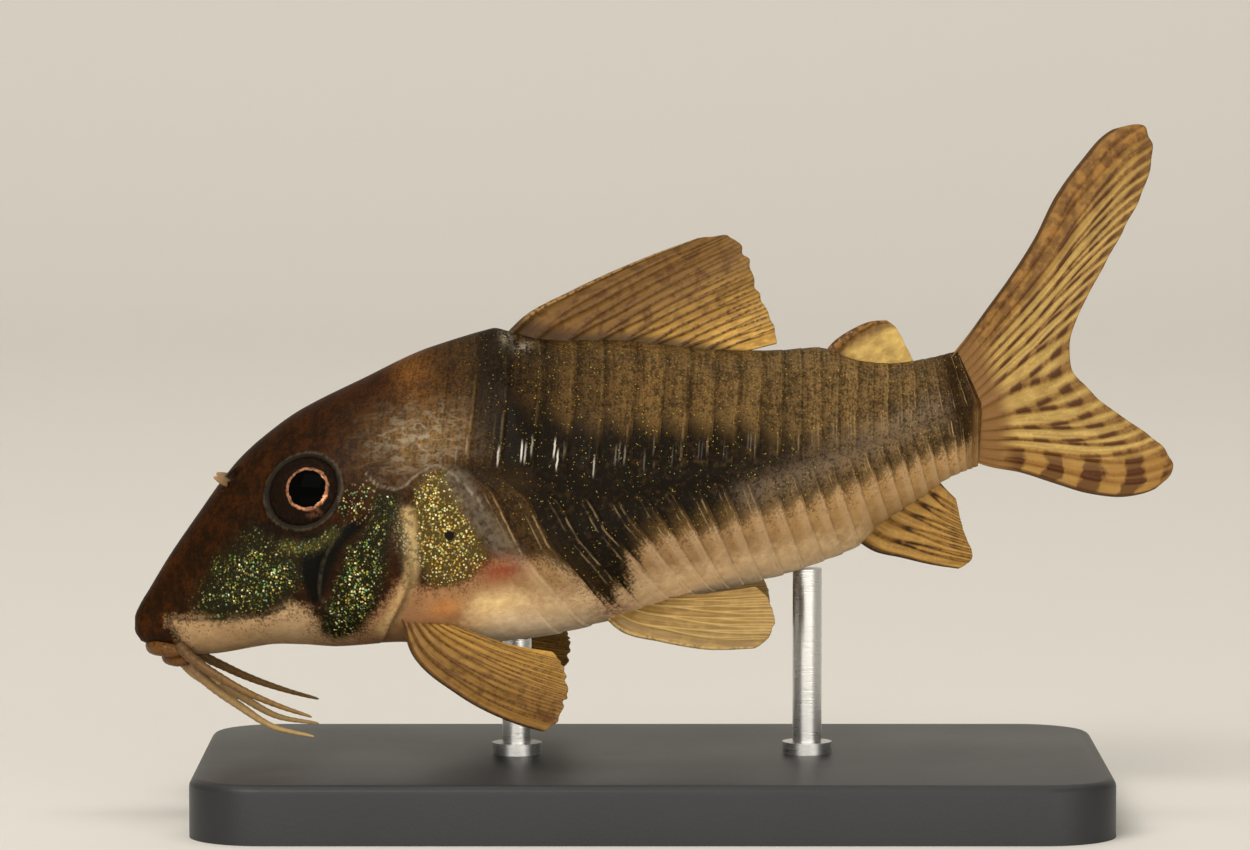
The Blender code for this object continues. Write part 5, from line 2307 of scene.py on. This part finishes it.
@dataclass(frozen=True)
class StandFinish:
    """Satin black plastic and brushed steel."""

    black: Tones = ((0.022, 0.022, 0.024), (0.034, 0.034, 0.036))
    steel: Tones = ((0.56, 0.56, 0.55), (0.68, 0.68, 0.67))

    def base(self) -> Material:
        """Returns the base's material.

        Returns:
            The material.
        """
        shader = Shader("stand_base_satin")
        place = shader.place()
        grain = shader.noise(place, 0.25 * MM, 3.0)
        worn = shader.noise(place, 12 * MM, 4.0)
        surface = {
            "Base Color": shader.mix(worn, *self.black),
            "Roughness": worn * 0.14 + 0.36,
            "Specular IOR Level": 0.25,
        }
        return shader.finish(surface, grain, 0.012 * MM)

    def rod(self) -> Material:
        """Returns the rods' material.

        Returns:
            The material.
        """
        shader = Shader("stand_rod_steel")
        stretched = shader.vector("MULTIPLY", {0: shader.place(), 1: (1.0, 1.0, 18.0)})
        brush = shader.noise(stretched, 1.2 * MM, 3.0)
        surface = {
            "Base Color": shader.mix(brush, *self.steel),
            "Metallic": 1.0,
            "Roughness": brush * 0.2 + 0.2,
        }
        return shader.finish(surface, brush, 0.008 * MM)


@dataclass
class Stand:
    """The display stand: a flat base with rounded corners and two rods with collars."""

    finish: StandFinish
    corner: float = 5.0 * MM
    edge: float = 0.6 * MM
    collar: float = 1.7 * MM
    collar_height: float = 0.8 * MM
    sharp: float = math.radians(35)

    def keep(
        self, bm: bmesh.types.BMesh, name: str, material: Material, node: str
    ) -> Piece:
        """Makes a shape a piece that stands for a node.

        Args:
            bm: The shape.
            name: The piece's name.
            material: Its finish.
            node: The node that it stands for.

        Returns:
            The new object.
        """
        mesh = meshed(name, bm)
        piece = finished(name, mesh, material)
        mesh.set_sharp_from_angle(angle=self.sharp)
        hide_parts(node)
        return piece

    def base(self) -> Piece:
        """Makes and dresses the base.

        Returns:
            The piece.
        """
        low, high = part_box("stand_base")
        bm = bmesh.new()
        bmesh.ops.create_cube(bm, size=1.0)
        bmesh.ops.scale(bm, vec=high - low, verts=bm.verts)
        bmesh.ops.translate(bm, vec=(low + high) / 2, verts=bm.verts)

        def low_end(edge: bmesh.types.BMEdge) -> float:
            """Returns the height of an edge's lower end."""
            return min(vertex.co.z for vertex in edge.verts)

        bevel = {"affect": "EDGES", "profile": 0.5, "material": -1}
        upright = [
            edge for edge in bm.edges
            if max(vertex.co.z for vertex in edge.verts) - low_end(edge) > self.edge
        ]
        bmesh.ops.bevel(bm, geom=upright, offset=self.corner, segments=20, **bevel)
        top = [edge for edge in bm.edges if low_end(edge) > high.z - self.edge]
        bmesh.ops.bevel(bm, geom=top, offset=self.edge, segments=5, **bevel)
        return self.keep(bm, "display_base", self.finish.base(), "stand_base")

    def rod(self, end: str, material: Material) -> Piece:
        """Makes and dresses one rod with a collar at its foot.

        Args:
            end: Which rod, front or rear.
            material: Its finish.

        Returns:
            The piece.
        """
        node = f"stand_rod_{end}"
        low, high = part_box(node)
        middle = (low + high) / 2
        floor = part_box("stand_base")[1].z
        bm = bmesh.new()
        for radius, bottom, top in (
            ((high.x - low.x) / 2, low.z, high.z),
            (self.collar, floor, floor + self.collar_height),
        ):
            sizes = {"radius1": radius, "radius2": radius, "depth": top - bottom}
            made = bmesh.ops.create_cone(bm, cap_ends=True, cap_tris=False, segments=64, **sizes)
            centre = (middle.x, middle.y, (bottom + top) / 2)
            bmesh.ops.translate(bm, vec=centre, verts=made["verts"])
        return self.keep(bm, f"display_rod_{end}", material, node)

    def build(self) -> list[Piece]:
        """Makes the base and both rods."""
        base, steel = self.base(), self.finish.rod()
        return [base, *(self.rod(end, steel) for end in ("front", "rear"))]


@dataclass
class Studio:
    """A pale sweep of floor and backdrop, soft lights, and a camera at the photograph's angle."""

    floor: Colour = (0.7, 0.68, 0.64)
    lamp: Colour = (1.0, 0.955, 0.88)
    air: Colour = (1.0, 0.97, 0.92)
    air_strength: float = 0.12
    half_width: float = 1.6
    front: float = -1.0
    back: float = 0.5
    bend: float = 0.35
    wall: float = 1.2
    pixel: float = 0.06843 * MM
    width: int = 1250
    height: int = 850
    snout_pixel: tuple[int, int] = (135, 625)
    distance: float = 0.45

    def sweep(self) -> None:
        """Makes the floor that curves up into the backdrop."""
        bm = bmesh.new()
        bmesh.ops.create_grid(bm, x_segments=1, y_segments=60, size=1.0)
        arc = self.bend * math.pi / 2
        length = self.back - self.front + arc + self.wall
        for vertex in bm.verts:
            run = (vertex.co.y + 1) / 2 * length - (self.back - self.front)
            turn = min(max(run / self.bend, 0.0), math.pi / 2)
            y = self.back + min(run, 0.0) + self.bend * math.sin(turn)
            z = self.bend * (1 - math.cos(turn)) + max(run - arc, 0.0)
            vertex.co = (vertex.co.x * self.half_width, y, z)
        bmesh.ops.recalc_face_normals(bm, faces=bm.faces)
        mesh = meshed("studio_sweep", bm)
        paper = Shader("studio_paper").finish({"Base Color": self.floor, "Roughness": 0.8})
        mesh.materials.append(paper)
        mesh.shade_smooth()
        linked("studio_sweep", mesh)

    def light(
        self, name: str, place: Place, target: Place, size: tuple[float, float], watts: float
    ) -> None:
        """Adds a soft rectangular light.

        Args:
            name: Its name.
            place: Where it stands.
            target: What it faces.
            size: Its width and height.
            watts: Its power.
        """
        data = bpy.data.lights.new(name, "AREA")
        data.shape = "RECTANGLE"
        data.size, data.size_y = size
        data.energy = watts
        data.color = self.lamp
        lamp = linked(name, data)
        lamp.location = place
        lamp.rotation_euler = (Vector(target) - Vector(place)).to_track_quat("-Z", "Y").to_euler()

    def camera(self) -> None:
        """Adds the camera, so that the fish lies where the photograph shows it."""
        snout = POSE.place(np.zeros((1, 3)))[0]
        right = (self.width / 2 - self.snout_pixel[0]) * self.pixel
        up = (self.snout_pixel[1] - self.height / 2) * self.pixel / math.cos(POSE.look_down)
        target = Vector((snout[0] + right, 0.0, snout[2] + up))
        away = Vector((0.0, -math.cos(POSE.look_down), math.sin(POSE.look_down)))
        data = bpy.data.cameras.new("photograph_view")
        data.sensor_width = 36.0
        data.lens = data.sensor_width * self.distance / (self.width * self.pixel)
        data.clip_start = 0.01
        camera = linked("photograph_view", data)
        camera.location = target + away * self.distance
        camera.rotation_euler = away.to_track_quat("Z", "Y").to_euler()
        bpy.context.scene.camera = camera

    def build(self) -> None:
        """Sets up the whole studio."""
        self.sweep()
        middle = (0.0, 0.0, 0.025)
        self.light("key", (-0.3, -0.6, 0.68), middle, (0.6, 0.45), 7.0)
        self.light("fill", (0.55, -0.7, 0.25), middle, (0.6, 0.5), 1.4)
        self.light("low", (0.0, -0.56, 0.08), middle, (1.0, 0.14), 1.7)
        self.light("backdrop", (0.0, 0.1, 0.95), (0.0, 0.75, 0.2), (1.2, 0.3), 5.0)
        world = bpy.data.worlds.new("studio_air")
        world.use_nodes = True
        background = world.node_tree.nodes["Background"].inputs
        background["Color"].default_value = (*self.air, 1.0)
        background["Strength"].default_value = self.air_strength
        bpy.context.scene.world = world
        bpy.context.scene.view_settings.view_transform = "Standard"
        self.camera()


def main() -> None:
    """Builds the whole scene in order."""
    mouth = Mouth(
        lip=SoftFinish("catfish_lip", (0.125, 0.05, 0.011), (0.125, 0.05, 0.011), 0.8),
        pale=SoftFinish("barbel_pale", (0.2, 0.115, 0.05), (0.5, 0.34, 0.14), 0.15),
        brown=SoftFinish("barbel_brown", (0.1, 0.052, 0.02), (0.25, 0.14, 0.042), 0.4),
        flap=SoftFinish("nostril_skin", (0.06, 0.032, 0.014), (0.3, 0.18, 0.08), 0.1),
    )
    finishes = {
        "dorsal": FinFinish(
            "dorsal_membrane", (0.56, 0.335, 0.08), (0.11, 0.05, 0.012),
            bar=(0.05, 0.02, 0.006), spine=(0.26, 0.15, 0.045),
            root_tint=(0.05, 0.026, 0.01), clear=0.86, strength=0.0, speckle=0.8, root=0.85,
            reach=2.0, tip=0.2, shade=0.88, shade_start=0.22, front_rays=0.6,
        ),
        "adipose": FinFinish(
            "adipose_membrane", (0.54, 0.365, 0.1), (0.05, 0.02, 0.007),
            bar=(0.04, 0.015, 0.005), spine=(0.2, 0.092, 0.017),
            root_tint=(0.075, 0.038, 0.014), clear=0.8, rows=1.1, slant=0.0, start=0.62,
            strength=2.5, speckle=0.3, root=0.6, reach=0.9, lead=0.18,
            lead_tint=(0.19, 0.095, 0.032),
        ),
        "anal": FinFinish(
            "anal_membrane", (0.4, 0.225, 0.05), (0.15, 0.068, 0.018),
            bar=(0.036, 0.013, 0.004), clear=0.82, rows=1.3, slant=0.1, start=0.3, end=0.88,
            strength=1.0, speckle=0.6, root=0.1,
        ),
        "caudal": FinFinish(
            "caudal_membrane", (0.47, 0.318, 0.094), (0.165, 0.07, 0.017),
            bar=(0.074, 0.025, 0.006), root_tint=(0.19, 0.092, 0.026), clear=0.84, rows=5.2,
            slant=0.3, start=0.2, end=0.97, strength=1.0, speckle=0.5, root=1.0, reach=3.1,
            lead=0.24, lead_tint=(0.26, 0.12, 0.024), lead_taper=0.55, blocks=1.0, shade=0.1,
        ),
        "pectoral": FinFinish(
            "pectoral_membrane", (0.46, 0.265, 0.058), (0.11, 0.05, 0.014),
            bar=(0.036, 0.015, 0.005), clear=0.82, strength=0.1, speckle=0.6, root=0.3, tip=0.1,
            shade=0.72, shade_start=0.1,
        ),
        "pelvic": FinFinish(
            "pelvic_membrane", (0.315, 0.195, 0.057), (0.5, 0.345, 0.13),
            bar=(0.22, 0.13, 0.045), spine=(0.46, 0.32, 0.13), clear=0.74, strength=0.1,
            speckle=0.15, root=0.0,
        ),
    }
    pieces = [Skin(SkinFinish()).build()]
    pieces += [Eye(side, EyeFinish()).build() for side in Side]
    pieces += mouth.build()
    pieces += FinSet().build(finishes)
    pieces += Stand(StandFinish()).build()
    for piece in pieces:
        LOG.info("%s: %d faces", piece.name, len(piece.data.polygons))
    Studio().build()


if __name__ == "__main__":
    logging.basicConfig(level=logging.INFO, format="%(message)s")
    main()
